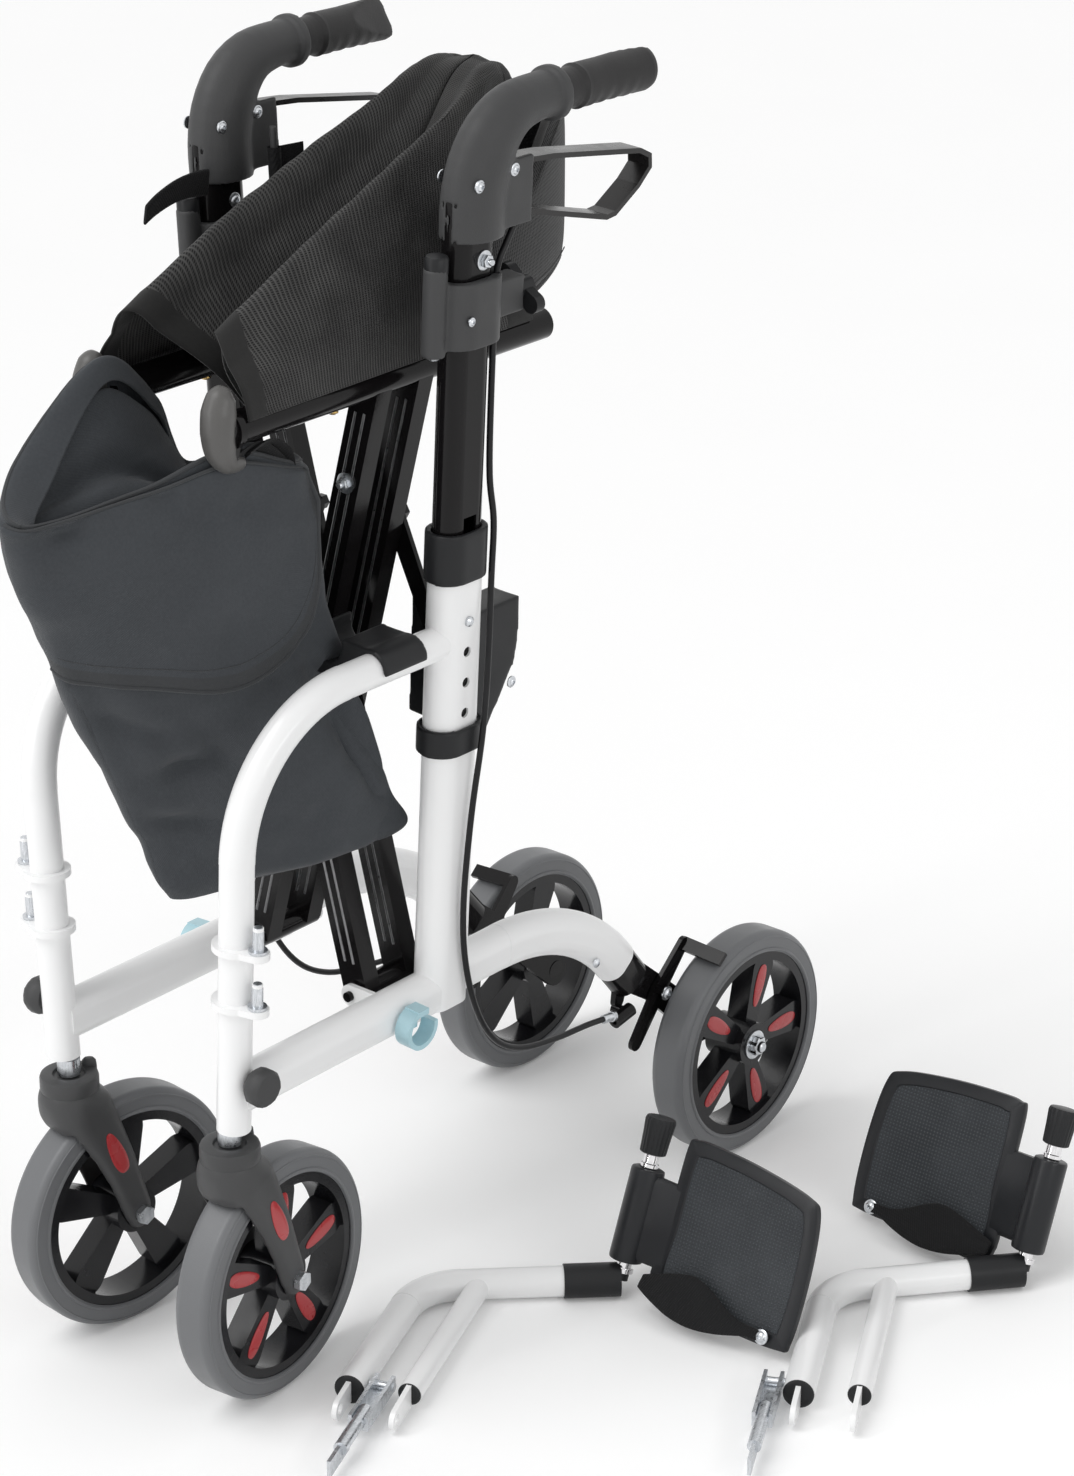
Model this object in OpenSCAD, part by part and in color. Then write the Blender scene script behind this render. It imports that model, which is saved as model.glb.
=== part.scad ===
// Folding rollator that also serves as a transport chair. It stands half folded, with its
// two swing-away footrests taken off and lying on the floor beside it.
// Front is -Y, the seated user's left side is +X, the floor is z = 0.

/* [Side frames] */
// Distance of each side frame from the middle plane, at the floor
frame_x = 78; // [72:1:90]
// Outward lean of each side frame, in degrees
splay = 3; // [2:0.25:4]
// Diameter of the front leg and bow tube
tube_d = 26; // [24:1:28]
// Wall of the frame tubes
tube_wall = 2; // [1.5:0.25:3]
// Y of the front leg
leg_y = -254; // [-275:1:-240]
// Height of the front leg's lower end
leg_bottom = 245; // [240:1:255]
// Height of the bow tube's straight top
bow_top = 573; // [560:1:590]
// Bend radius of the bow tube
bow_r = 108; // [80:1:130]
// Height of the lower tube
low_z = 276; // [268:1:284]
// Height of the lower tube's oval section
low_h = 38; // [34:1:42]
// Width of the lower tube's oval section
low_w = 28; // [26:1:30]
// Rise of the rear arch over the lower tube
arch_rise = 8; // [0:1:12]
// Y where the rear arch starts to bend down
arch_y = 45; // [35:1:55]
// Bend radius of the rear arch
arch_r = 200; // [185:1:215]
// Turn of the rear arch, in degrees
arch_turn = 50; // [46:1:54]
// Y of the upright
upright_y = -24; // [-30:1:-18]
// Length of the upright's oval section
upright_l = 47; // [44:1:50]
// Width of the upright's oval section
upright_w = 30; // [28:1:33]
// Height of the upright's top
upright_top = 628; // [615:1:640]
// Height of the upper footrest pin's flange
flange_z = 401; // [390:1:415]
// Spacing of the two footrest pins
flange_pitch = 46; // [40:1:52]
// Diameter of the footrest pins
hang_pin_d = 8; // [7:0.5:9]
// Length of the footrest pins above their flanges
hang_pin_l = 20; // [15:1:25]

/* [Handles] */
// Height of the push handle's grip axis over the seat rails
grip_rise = 202; // [190:1:225]
// Length of the grip
grip_l = 106; // [90:1:125]
// Radius of the grip
grip_r = 16; // [14:0.5:18]
// Height of the top locking hole
hole_z = 590; // [580:1:596]
// Pitch of the locking holes
hole_pitch = 25; // [20:1:28]
// Diameter of the locking button
button_d = 8; // [7:0.5:9]
// Width of the brake lever's strip
lever_w = 20; // [16:1:22]
// Height of the backrest clamp over the seat rails
clamp_rise = 34; // [30:1:40]

/* [Wheels] */
// Diameter of all four wheels
wheel_d = 200; // [190:1:204]
// Width of the tyres
tyre_w = 32; // [28:1:34]
// Radial thickness of the tyres
tyre_t = 18; // [14:1:22]
// Number of spokes
spokes = 5; // [4:1:6]
// Distance of the rear wheels from the middle plane
rear_x = 120.5; // [119:0.5:126]
// Y of the rear axle
rear_y = 328; // [326:1:336]
// Distance of the caster swivel axes from the middle plane
stem_x = 86; // [84:1:88]
// Trail of the casters
trail = 45; // [35:1:50]
// Inward toe of the casters as they stand, in degrees
toe = 6; // [0:1:10]

/* [Scissor] */
// Distance of the lower brace hinges from the middle plane
hinge_x = 64; // [62:0.5:66]
// Height of the lower brace hinges
hinge_z = 285; // [280:1:288]
// Height of the seat rails as the chair stands
rail_z = 772; // [760:1:785]
// Height of the open seat's rails over the bow tubes
saddle_rise = 11.5; // [9:0.5:14]
// Diameter of the seat rails
rail_d = 25; // [22:1:27]
// Length of the seat rails
rail_l = 338; // [320:1:350]
// Y of the seat rails' front end
rail_y = -207; // [-215:1:-200]
// Width of a brace bar
bar_w = 24; // [20:1:26]
// Thickness of a brace bar
bar_t = 16; // [14:0.5:18]
// Pitch of the interleaved brace bars
bar_pitch = 23; // [21:0.5:25]

/* [Footrests] */
// Diameter of the footrest tubes
foot_tube_d = 25; // [22:1:27]
// Length of the straight post up to its bend
post_l = 160; // [145:1:180]
// Length from the bend to the plate hinge
reach_l = 162; // [150:1:175]
// Turn of the footrest tube, in degrees
foot_turn = 68; // [62:1:72]
// Width of the footplate
plate_w = 160; // [145:1:175]
// Depth of the footplate
plate_l = 134; // [120:1:145]
// Backward lean of the upturned footplate, in degrees
plate_lean = 22; // [15:1:26]

/* [Soft parts] */
// Height of the sling's ridge over the rails, as it stands
ridge_rise = 182; // [175:1:195]
// Height of the sling's front crests over the rails
crest_rise = 58; // [45:1:70]
// Thickness of the sling cloth
cloth_t = 1.6; // [1:0.2:2.4]
// Height of the backrest's lower edge over the seat rails
back_rise = 20; // [18:1:28]
// Height of the backrest band
back_h = 136; // [120:1:150]
// Y of the backrest's crease
back_y = 221; // [215:1:228]
// Thickness of the padded backrest
back_t = 14; // [10:1:18]
// Diameter of the brake cables
cable_d = 5; // [4:0.5:5]

/* [Hidden] */
$fn = 64;
left = 1;
right = -1;
gap = 0.3;
run = 0.05;
// A bend is this much wider than its tube
swell = 0.5;
wheel_r = wheel_d / 2;
grip_z = rail_z + grip_rise;
clamp_z = rail_z + clamp_rise;
back_z = rail_z + back_rise;
bow_z = bow_top - bow_r;
arch_z = low_z + arch_rise;
arch_end = 90 - arch_turn;
upright_bottom = low_z - low_h / 2 + 6;
slide_l = upright_l - 2 * tube_wall - 2 * gap;
slide_w = upright_w - 2 * tube_wall - 2 * gap;
slide_bottom = hole_z - 135;
slide_top = grip_z - 60;
hole_steps = 3;
hinge_r = 10;
journal_r = 4;
pivot_r = 5;
rail_r = rail_d / 2;
cap_r = 12;
rail_open_z = bow_top + saddle_rise;
brace_l = norm([2 * hinge_x, rail_z - hinge_z]);
brace_slope = atan2(rail_z - hinge_z, 2 * hinge_x);
cross_z = (hinge_z + rail_z) / 2;
// Middle of the first bar of each brace, and the sleeve that carries its pair
bar_y = [-82, -59];
sleeve_l = 2 * bar_pitch + bar_t + 4;
// The stay links: height on the upright, distance from the middle, their layer in Y
stay_x = 83;
stay_z = 530.5;
stay_y = [bar_y[1] + 2 * bar_pitch + bar_t / 2 + 1.5, bar_y[0] + 2 * bar_pitch + bar_t / 2 + 1.5];
stay_t = 4;
stay_up = 121;
// The backrest pin on each clamp, in the side frame's own plane
back_pin = [-30, 8];
// The brake lever's pin, and the housing cheek on each side of the lever
lever_pin_r = 3;
cheek_t = 5;
// Side view of the brake lever's strip, as [y, z] offsets from its pivot
lever_pivot = [18, grip_z - 56];
lever_line = [[-6, 16], [40, 12], [142, -4], [154, -10], [155, -19], [142, -31], [116, -47],
    [106, -48], [52, -34], [6, -22], [-6, -14]];
// Route of a brake cable beside the left frame, as [outward, y, z]
cable_route = [[10, 15, grip_z - 88], [10, 8.5, grip_z - 98], [10, 2, grip_z - 108], [10, -1.6, grip_z - 119],
    [10, -2.2, grip_z - 134], [10, -2.2, grip_z - 214], [11, -1.5, 700], [15.5, 0, 664], [15.5, 0, 620],
    [24, -10, 560], [25, -14, 500], [22, -20, 430], [21, -24, 357], [20, -18, 303], [19, 0, 251],
    [18, 26, 214], [17, 60, 193],
    [16, 104, 183], [14, 150, 177], [12, 186, 170]];
// Where the box of the whole object has its middle, from the chair's own middle plane
box_mid = [162.55, 44.8];

// Placing

module place() translate([-box_mid.x, -box_mid.y, 0]) children();
module half(s) mirror([s < 0 ? 1 : 0, 0, 0]) children();
// The side frame's own axes: x outward from the frame, y, z up along the leaning frame
module side(s) half(s) translate([frame_x, 0, 0]) rotate([0, splay, 0]) children();
// A sketch whose x and y become y and z, extruded along x
module side_view() rotate([90, 0, 90]) children();
// A sketch whose x and y become x and z, extruded along -y
module front_view() rotate([90, 0, 0]) children();
function to_side(p) = [(p.x - frame_x) * cos(splay) - p.y * sin(splay),
    (p.x - frame_x) * sin(splay) + p.y * cos(splay)];

// Shared shapes

module stadium(l, w) {
    square([l - w, w], center = true);
    for (e = [-1, 1]) translate([e * (l - w) / 2, 0]) circle(d = w);
}
// Two circles and the tangents that join them
module taper(a, ra, b, rb) {
    turn = atan2(b.y - a.y, b.x - a.x);
    lean = acos((ra - rb) / norm(b - a));
    translate(a) circle(ra);
    translate(b) circle(rb);
    polygon([for (e = [1, -1]) each e > 0
        ? [a + ra * [cos(turn + lean), sin(turn + lean)], b + rb * [cos(turn + lean), sin(turn + lean)]]
        : [b + rb * [cos(turn - lean), sin(turn - lean)], a + ra * [cos(turn - lean), sin(turn - lean)]]]);
}
module ring(outer, inner, h) difference() {
    cylinder(r = outer, h = h);
    translate([0, 0, -1]) cylinder(r = inner, h = h + 2);
}
// A closed surface through rings of points, each ring with the same count
module skin(rings) {
    n = len(rings[0]);
    m = len(rings);
    walls = [for (i = [0 : m - 2], j = [0 : n - 1]) each [
        [i * n + j, (i + 1) * n + j, i * n + (j + 1) % n],
        [(i + 1) * n + j, (i + 1) * n + (j + 1) % n, i * n + (j + 1) % n]]];
    first = [for (j = [1 : n - 2]) [0, j, j + 1]];
    last = [for (j = [1 : n - 2]) [(m - 1) * n, (m - 1) * n + j + 1, (m - 1) * n + j]];
    polyhedron([for (r = rings) each r], concat(walls, first, last), convexity = 6);
}
function unit(v) = v / norm(v);
// A point on the smooth curve through the points p, at i plus t
function curve(p, i, t) = let (a = p[max(i - 1, 0)], b = p[i], c = p[i + 1], d = p[min(i + 2, len(p) - 1)])
    0.5 * (2 * b + (c - a) * t + (2 * a - 5 * b + 4 * c - d) * t * t + (3 * b - a - 3 * c + d) * t * t * t);
function smooth(p, steps) = concat([for (i = [0 : len(p) - 2], k = [0 : steps - 1]) curve(p, i, k / steps)],
    [p[len(p) - 1]]);
// A round tube along a line of points that never runs along x
module tube(path, r, sides) {
    m = len(path);
    skin([for (i = [0 : m - 1]) let (t = unit(path[min(i + 1, m - 1)] - path[max(i - 1, 0)]),
        a = unit(cross([1, 0, 0], t)), b = cross(t, a))
        [for (k = [0 : sides - 1]) path[i] + r * (cos(360 * k / sides) * a + sin(360 * k / sides) * b)]]);
}
module bolt(r, l, head) {
    cylinder(r = r, h = l);
    translate([0, 0, l]) cylinder(r = head, h = head * 0.7, $fn = 6);
}

// Side frames

module leg_and_bow(d, stop) {
    translate([0, leg_y, leg_bottom]) cylinder(d = d, h = bow_z - leg_bottom + 1);
    side_view() translate([leg_y + bow_r, bow_z]) rotate([0, 0, 90]) rotate_extrude(angle = 90)
        translate([bow_r, 0]) circle(d = d + swell);
    translate([0, leg_y + bow_r - 1, bow_top]) rotate([-90, 0, 0])
        cylinder(d = d, h = upright_y - stop - leg_y - bow_r + 1);
}
module lower_tube(h, w, y0, y1) translate([0, y0, low_z]) rotate([-90, 0, 0])
    linear_extrude(y1 - y0) rotate(90) stadium(h, w);
module arch(h, w, y0, past = 0) {
    translate([0, y0, arch_z]) rotate([-90, 0, 0]) linear_extrude(arch_y - y0 + 1) rotate(90) stadium(h, w);
    side_view() translate([arch_y, arch_z - arch_r]) rotate([0, 0, arch_end - past])
        rotate_extrude(angle = arch_turn + past) translate([arch_r, 0]) stadium(h + swell, w + swell);
}
module upright(l, w, z0, z1) translate([0, upright_y, z0]) linear_extrude(z1 - z0) rotate(90) stadium(l, w);
module flanges() for (i = [0, 1]) translate([0, leg_y, flange_z - i * flange_pitch]) {
    translate([0, 0, -5]) linear_extrude(5) {
        circle(d = tube_d + 10);
        taper([0, 0], tube_d / 2 + 2, [22, 0], 9);
    }
    translate([22, 0, -1]) cylinder(d = hang_pin_d, h = hang_pin_l + 1);
}
// Tabs that carry a brace's lower hinge
module brace_tabs(i) {
    c = to_side([hinge_x, hinge_z]);
    for (y = [bar_y[i] - bar_t / 2 - 2 - gap - 4, bar_y[i] - bar_t / 2 - 2 + sleeve_l + gap])
        translate([0, y + 4, 0]) front_view() linear_extrude(4) difference() {
            taper(c, hinge_r - 1, [-low_w / 2 + 6, low_z + 4], 14);
            translate(c) circle(r = journal_r + run);
        }
}
// Lug that carries a stay link
module stay_lug(i) {
    c = to_side([stay_x, stay_z]);
    translate([0, stay_y[i] - gap, 0]) front_view() {
        linear_extrude(5) taper(c, 8, [-upright_w / 2 + 4, stay_z - 6], 12);
        translate([c.x, c.y, -stay_t - 2 * gap - 1]) cylinder(r = journal_r, h = 4 + stay_t + 2 * gap);
    }
}
module side_frame(s) color("white") side(s) difference() {
    i = s > 0 ? 0 : 1;
    union() {
        leg_and_bow(tube_d, 0);
        lower_tube(low_h, low_w, leg_y, upright_y);
        arch(low_h, low_w, upright_y);
        upright(upright_l, upright_w, upright_bottom, upright_top);
        flanges();
        brace_tabs(i);
        stay_lug(i);
    }
    leg_and_bow(tube_d - 2 * tube_wall, upright_l / 2 + 1);
    translate([0, leg_y, leg_bottom - 1]) cylinder(d = tube_d - 2 * tube_wall, h = 2);
    lower_tube(low_h - 2 * tube_wall, low_w - 2 * tube_wall, leg_y + tube_d / 2 + 1,
        upright_y - upright_l / 2 - 1);
    arch(low_h - 2 * tube_wall, low_w - 2 * tube_wall, upright_y + upright_l / 2 + 1, 1);
    upright(upright_l - 2 * tube_wall, upright_w - 2 * tube_wall, low_z + low_h / 2 + 6, upright_top + 1);
    for (k = [0 : hole_steps]) translate([0, upright_y, hole_z - k * hole_pitch]) rotate([0, 90, 0])
        cylinder(r = button_d / 2 + run, h = upright_w);
}

// Black mouldings pressed on the frame: top bush, seat saddles, bumper

saddle_u = to_side([hinge_x, rail_open_z]).x;
saddle_z = to_side([hinge_x, rail_open_z]).y;
module saddle_section() difference() {
    union() {
        translate([0, bow_top]) circle(d = tube_d + 8);
        translate([saddle_u - rail_r - 6, bow_top - tube_d / 2 - 4])
            square([-saddle_u + rail_r + 6, saddle_z - bow_top + tube_d / 2 + 10]);
    }
    translate([0, bow_top]) circle(d = tube_d);
    translate([-tube_d / 2, bow_top - tube_d]) square([tube_d + 20, tube_d]);
    translate([saddle_u, saddle_z]) circle(r = rail_r + 3);
    translate([saddle_u - rail_r - 3, saddle_z]) square([2 * rail_r + 6, 30]);
}
module mouldings(s) color("#26272a") side(s) {
    difference() {
        upright(upright_l + 6, upright_w + 6, upright_top - 6, upright_top + 34);
        upright(upright_l, upright_w, upright_top - 7, upright_top);
        upright(slide_l + 2 * gap, slide_w + 2 * gap, upright_top - 1, upright_top + 35);
    }
    translate([0, bar_y[s > 0 ? 1 : 0] - bar_t / 2 - 3, 0]) front_view() linear_extrude(46) saddle_section();
    difference() {
        union() {
            upright(upright_l + 9, upright_w + 9, 482, 504);
            translate([saddle_u - rail_r - 6, 0, 0]) side_view() linear_extrude(-saddle_u + rail_r + 6)
                polygon([[1, 484], [18, 478], [50, 528], [54, 545], [54, saddle_z], [1, saddle_z]]);
        }
        upright(upright_l, upright_w, 470, 620);
        translate([saddle_u, 0, saddle_z]) rotate([-90, 0, 0]) cylinder(r = rail_r + 3, h = 80);
    }
    translate([tube_d / 2, leg_y + 4, low_z + 12]) rotate([0, 90, 0]) {
        translate([0, 0, -3]) cylinder(r = 5, h = 8);
        rotate_extrude() polygon([[0, 3], [11, 3], [14, 7], [14, 15], [11, 18], [0, 18]]);
    }
}
module frame_clip(s) color("#9fd0dc") side(s) translate([low_w / 2, -78, low_z - 4]) {
    translate([0, -9, -8]) cube([3, 18, 16]);
    translate([3, 0, -2]) rotate([0, 90, 0]) difference() {
        ring(17, 13, 14);
        rotate([0, 0, 100]) translate([0, 0, -1]) cube([30, 30, 20]);
    }
    translate([3, -6, 10]) cube([14, 12, 5]);
}

// Handles

module height_tube(s) color("#17181a") side(s) difference() {
    upright(slide_l, slide_w, slide_bottom, slide_top);
    upright(slide_l - 2 * tube_wall, slide_w - 2 * tube_wall, slide_bottom - 1, slide_top + 1);
    translate([slide_w / 2 - tube_wall - 1, upright_y - button_d / 2 - 3, hole_z - button_d])
        cube([tube_wall + 3, button_d + 6, hole_steps * hole_pitch + 2 * button_d]);
}
// Stations of the handle moulding: y, z, slope in degrees, half width, half depth
elbow_line = [[-19, -90, 90, 21, 27], [-19, -62, 90, 21, 27], [-13, -38, 76, 20.5, 27], [0, -17, 52, 19.5, 24],
    [20, -4, 20, 18.5, 20], [44, 0, 3, 17.5, 17.5], [60, 0, 0, 17.5, 17.5]];
function elbow_ring(e) = [for (k = [0 : 31]) let (a = 360 * k / 32)
    [e[3] * cos(a), e[0] + e[4] * sin(a) * sin(e[2]), grip_z + e[1] - e[4] * sin(a) * cos(e[2])]];
module handle_elbow(s) color("#3a3b3e") side(s) {
    difference() {
        union() {
            skin([for (e = smooth(elbow_line, 3)) elbow_ring(e)]);
            translate([0, 58, grip_z]) rotate([-90, 0, 0]) cylinder(r = grip_r + 4.5, h = 8);
            translate([-lever_w / 2 - cheek_t, -4, lever_pivot.y - 30]) cube([lever_w + 2 * cheek_t, 34, 50]);
        }
        upright(slide_l, slide_w, slide_top - 70, slide_top);
        translate([-lever_w / 2 - 0.5, 5, lever_pivot.y - 40]) cube([lever_w + 1, 60, 64]);
    }
    translate([-lever_w / 2 - cheek_t + 1, lever_pivot.x, lever_pivot.y]) rotate([0, 90, 0])
        cylinder(r = lever_pin_r, h = lever_w + 2 * cheek_t - 2);
}
module grip(s) color("#2c2d30") side(s) translate([0, 66, grip_z]) rotate([-90, 0, 0]) rotate_extrude()
    polygon(concat([[0, 0], [grip_r - 2, 0], [grip_r - 0.5, 4], [grip_r - 0.5, 16], [grip_r + 1.5, 21]],
        [for (k = [0 : 3]) each [[grip_r, 32 + k * 15], [grip_r + 1.2, 39 + k * 15]]],
        [[grip_r + 1.4, grip_l - 8], [grip_r - 3, grip_l], [0, grip_l]]));
// A closed line of points moved sideways by d
function beside(p, d) = let (n = len(p)) [for (i = [0 : n - 1])
    let (u = unit(p[i] - p[(i + n - 1) % n]), v = unit(p[(i + 1) % n] - p[i]),
        m = unit([-u.y - v.y, u.x + v.x]))
    p[i] + d / (m * [-u.y, u.x]) * m];
module brake_lever(s) color("#303134") side(s)
    translate([-lever_w / 2, lever_pivot.x, lever_pivot.y]) side_view()
    linear_extrude(lever_w) difference() {
        union() {
            difference() {
                polygon(beside(lever_line, 2));
                polygon(beside(lever_line, -2));
            }
            polygon([[-6, 15], [10, 13], [10, -22], [-6, -15]]);
        }
        circle(r = lever_pin_r + run);
    }
module backrest_clamp(s) color("#1d1e20") side(s) {
    difference() {
        union() {
            upright(slide_l + 16, slide_w + 16, clamp_z, clamp_z + 50);
            translate([0, upright_y - slide_l / 2 - 12, clamp_z - 4]) cylinder(r = 9, h = 66);
            translate([-10, upright_y + slide_l / 2, clamp_z + 12]) cube([18, 36, 28]);
            translate([0, 0, clamp_z + 4]) linear_extrude(42)
                taper([back_pin.x, back_pin.y], 6, [-slide_w / 2 - 2, upright_y + 16], 6);
        }
        upright(slide_l + 0.2, slide_w + 0.2, clamp_z - 10, clamp_z + 70);
        translate([10, -2.2, clamp_z - 10]) cylinder(r = cable_d / 2 + 1, h = 70);
        translate([-1, upright_y + slide_l / 2 + 14, clamp_z + 26]) rotate([-90, 0, 0])
            cylinder(r = 3 + run, h = 40);
    }
    translate([back_pin.x, back_pin.y, clamp_z + 40]) cylinder(r = 3, h = back_z + back_h - clamp_z - 46);
    translate([0, upright_y - slide_l / 2 - 12, clamp_z + 60]) cylinder(r = 4, h = 9);
}
module wing_knob(s) color("#202124") side(s)
    translate([-1, upright_y + slide_l / 2 + 36 + gap, clamp_z + 26]) rotate([-90, 0, 0]) {
        translate([0, 0, -18]) cylinder(r = 3, h = 20);
        cylinder(r = 8, h = 14);
        rotate([0, 0, 35]) for (e = [-1, 1]) translate([0, 0, 2]) linear_extrude(9)
            taper([0, 0], 5, [e * 16, 0], 7);
    }
module height_button(s) color("silver") side(s)
    translate([upright_w / 2, upright_y, hole_z]) rotate([0, 90, 0]) {
    translate([0, 0, -tube_wall - gap - 2]) cylinder(r = button_d / 2 + 1.5, h = 2);
    translate([0, 0, -tube_wall - gap - 1]) cylinder(r = button_d / 2, h = tube_wall + gap + 3);
    translate([0, 0, 2]) cylinder(r1 = button_d / 2, r2 = button_d / 2 - 2, h = 1.5);
}

// Brakes

arch_tip = [arch_y + arch_r * cos(arch_end), arch_z - arch_r + arch_r * sin(arch_end)];
arch_dir = [sin(arch_end), -cos(arch_end)];
axle_yz = [rear_y, wheel_r];
arm_pivot = axle_yz + [-74, 66];
arm_top = arm_pivot + [30, 33];
arm_low = arm_pivot + [-28, -40];
arm_u = 8;
plug_end = arch_tip + 30 * arch_dir;
anchor = arm_pivot + [-54, 0];
module axle_bracket(s) color("#1b1c1e") {
    side(s) {
        translate([0, arch_tip.x, arch_tip.y]) rotate([arch_end - 180, 0, 0]) {
            translate([0, 0, -24]) linear_extrude(24) rotate(90)
                stadium(low_h - 2 * tube_wall - 1, low_w - 2 * tube_wall - 1);
            linear_extrude(30) rotate(90) stadium(low_h - 1, low_w - 1);
        }
        translate([-3, 0, 0]) side_view() linear_extrude(6) {
            taper(plug_end - 12 * arch_dir, 15, arm_pivot, 12);
            taper(arm_pivot, 12, axle_yz, 14);
        }
        translate([0, arm_pivot.x, arm_pivot.y]) rotate([0, 90, 0]) cylinder(r = 4, h = arm_u + 7);
        translate([-3, 0, 0]) side_view() linear_extrude(5)
            taper(plug_end - 12 * arch_dir, 8, anchor + [6, 6], 6);
        translate([12, anchor.x, anchor.y]) rotate([-80, 0, 0]) translate([0, 0, -13])
            ring(6, cable_d / 2 + gap, 22);
        translate([-2, anchor.x + 4, anchor.y - 1]) rotate([0, 90, 0]) cylinder(r = 5, h = 9);
    }
    half(s) translate([0, rear_y, wheel_r]) rotate([0, 90, 0]) {
        translate([0, 0, frame_x + 2]) cylinder(r = axle_r, h = rear_x - frame_x + hub_w / 2 + 7);
        translate([0, 0, frame_x + 2]) cylinder(r = 9, h = rear_x - frame_x - hub_w / 2 - 2 - gap);
        translate([0, 0, rear_x + hub_w / 2 + gap]) cylinder(r = 8.5, h = 7, $fn = 6);
    }
}
module brake_arm(s) color("#151618") side(s) translate([arm_u - 4, 0, 0]) side_view() difference() {
    union() {
        linear_extrude(4) {
            taper(arm_low, 7, arm_pivot, 9);
            taper(arm_pivot, 9, arm_top, 6);
        }
        translate([arm_top.x, arm_top.y, 1]) rotate([0, 0, 40]) translate([-6, -2, 0]) cube([12, 4, 44]);
    }
    translate([arm_pivot.x, arm_pivot.y, -1]) cylinder(r = 4 + run, h = 8);
}
module brake_cable(s) color("#101112") side(s) tube(smooth(cable_route, 2), cable_d / 2, 8);

// Wheels, about the x axis with the outer face towards +x

rim_r = wheel_r - tyre_t;
hub_r = 19;
hub_w = 38;
rear_spoke_turn = 17;
caster_spoke_turn = 33;
axle_r = 5;
stem_in = 12;
module tyre() color("#6d6f73") rotate([0, 90, 0]) rotate_extrude($fn = 96) difference() {
    union() {
        translate([rim_r, -tyre_w / 2]) square([tyre_t - 7, tyre_w]);
        translate([rim_r, -tyre_w / 2 + 7]) square([tyre_t, tyre_w - 14]);
        for (e = [-1, 1]) translate([wheel_r - 7, e * (tyre_w / 2 - 7)]) circle(r = 7);
    }
    translate([rim_r - 1, -tyre_w / 2 + 4]) square([4, tyre_w - 8]);
}
module rim(turn) color("#17181b") rotate([0, 90, 0]) difference() {
    union() {
        rotate_extrude($fn = 96) {
            translate([rim_r - 8, -tyre_w / 2 + 1]) square([8, tyre_w - 2]);
            translate([rim_r - 1, -tyre_w / 2 + 4]) square([4, tyre_w - 8]);
        }
        translate([0, 0, -hub_w / 2]) cylinder(r = hub_r, h = hub_w);
        for (k = [0 : spokes - 1]) rotate([0, 0, turn + 360 * k / spokes]) translate([0, 0, -9])
            linear_extrude(20) taper([hub_r - 4, 0], 7.5, [rim_r - 16, 0], 14);
    }
    translate([0, 0, -hub_w]) cylinder(r = axle_r + run, h = 2 * hub_w);
}
module at_rear(s) half(s) translate([rear_x, rear_y, wheel_r]) children();
module at_caster(s) half(s) translate([stem_x, leg_y, 0]) rotate([0, 0, toe]) children();
module rear_tyre(s) at_rear(s) tyre();
module rear_rim(s) at_rear(s) rim(rear_spoke_turn);
module caster_tyre(s) at_caster(s) translate([0, trail, wheel_r]) tyre();
module caster_rim(s) at_caster(s) translate([0, trail, wheel_r]) rim(caster_spoke_turn);
fork_in = hub_w / 2 + gap;
fork_t = 8;
crown_z = wheel_r * 2 + 5;
module caster_fork(s) color("#333437") at_caster(s) difference() {
    union() {
        translate([0, 0, crown_z]) cylinder(r = 24, h = 14);
        translate([0, 0, crown_z + 14]) cylinder(r1 = 24, r2 = 17, h = 12);
        translate([-fork_in - fork_t, -20, crown_z]) cube([2 * fork_in + 2 * fork_t, 44, 12]);
        for (e = [-1, 1]) translate([e > 0 ? fork_in : -fork_in - fork_t, 0, 0]) side_view()
            linear_extrude(fork_t) {
            taper([2, crown_z - 8], 18, [trail * 0.55, wheel_r + 42], 16);
            taper([trail * 0.55, wheel_r + 42], 16, [trail, wheel_r], 14);
        }
    }
    translate([0, 0, crown_z - 1]) cylinder(r = axle_r, h = 40);
    translate([-60, trail, wheel_r]) rotate([0, 90, 0]) cylinder(r = axle_r, h = 120);
}
module caster_bolts(s) color("silver") at_caster(s) {
    translate([0, 0, crown_z]) cylinder(r = axle_r, h = leg_bottom - crown_z + stem_in);
    translate([0, 0, crown_z + 26]) cylinder(r = 9, h = leg_bottom - crown_z - 26 - gap);
    translate([-fork_in - fork_t, trail, wheel_r]) rotate([0, 90, 0]) bolt(axle_r, 2 * fork_in + 2 * fork_t, 8);
    translate([-fork_in - fork_t - 5, trail, wheel_r]) rotate([0, 90, 0]) cylinder(r = 8, h = 5, $fn = 6);
}

// Scissor braces with the seat rails, stay links

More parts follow.
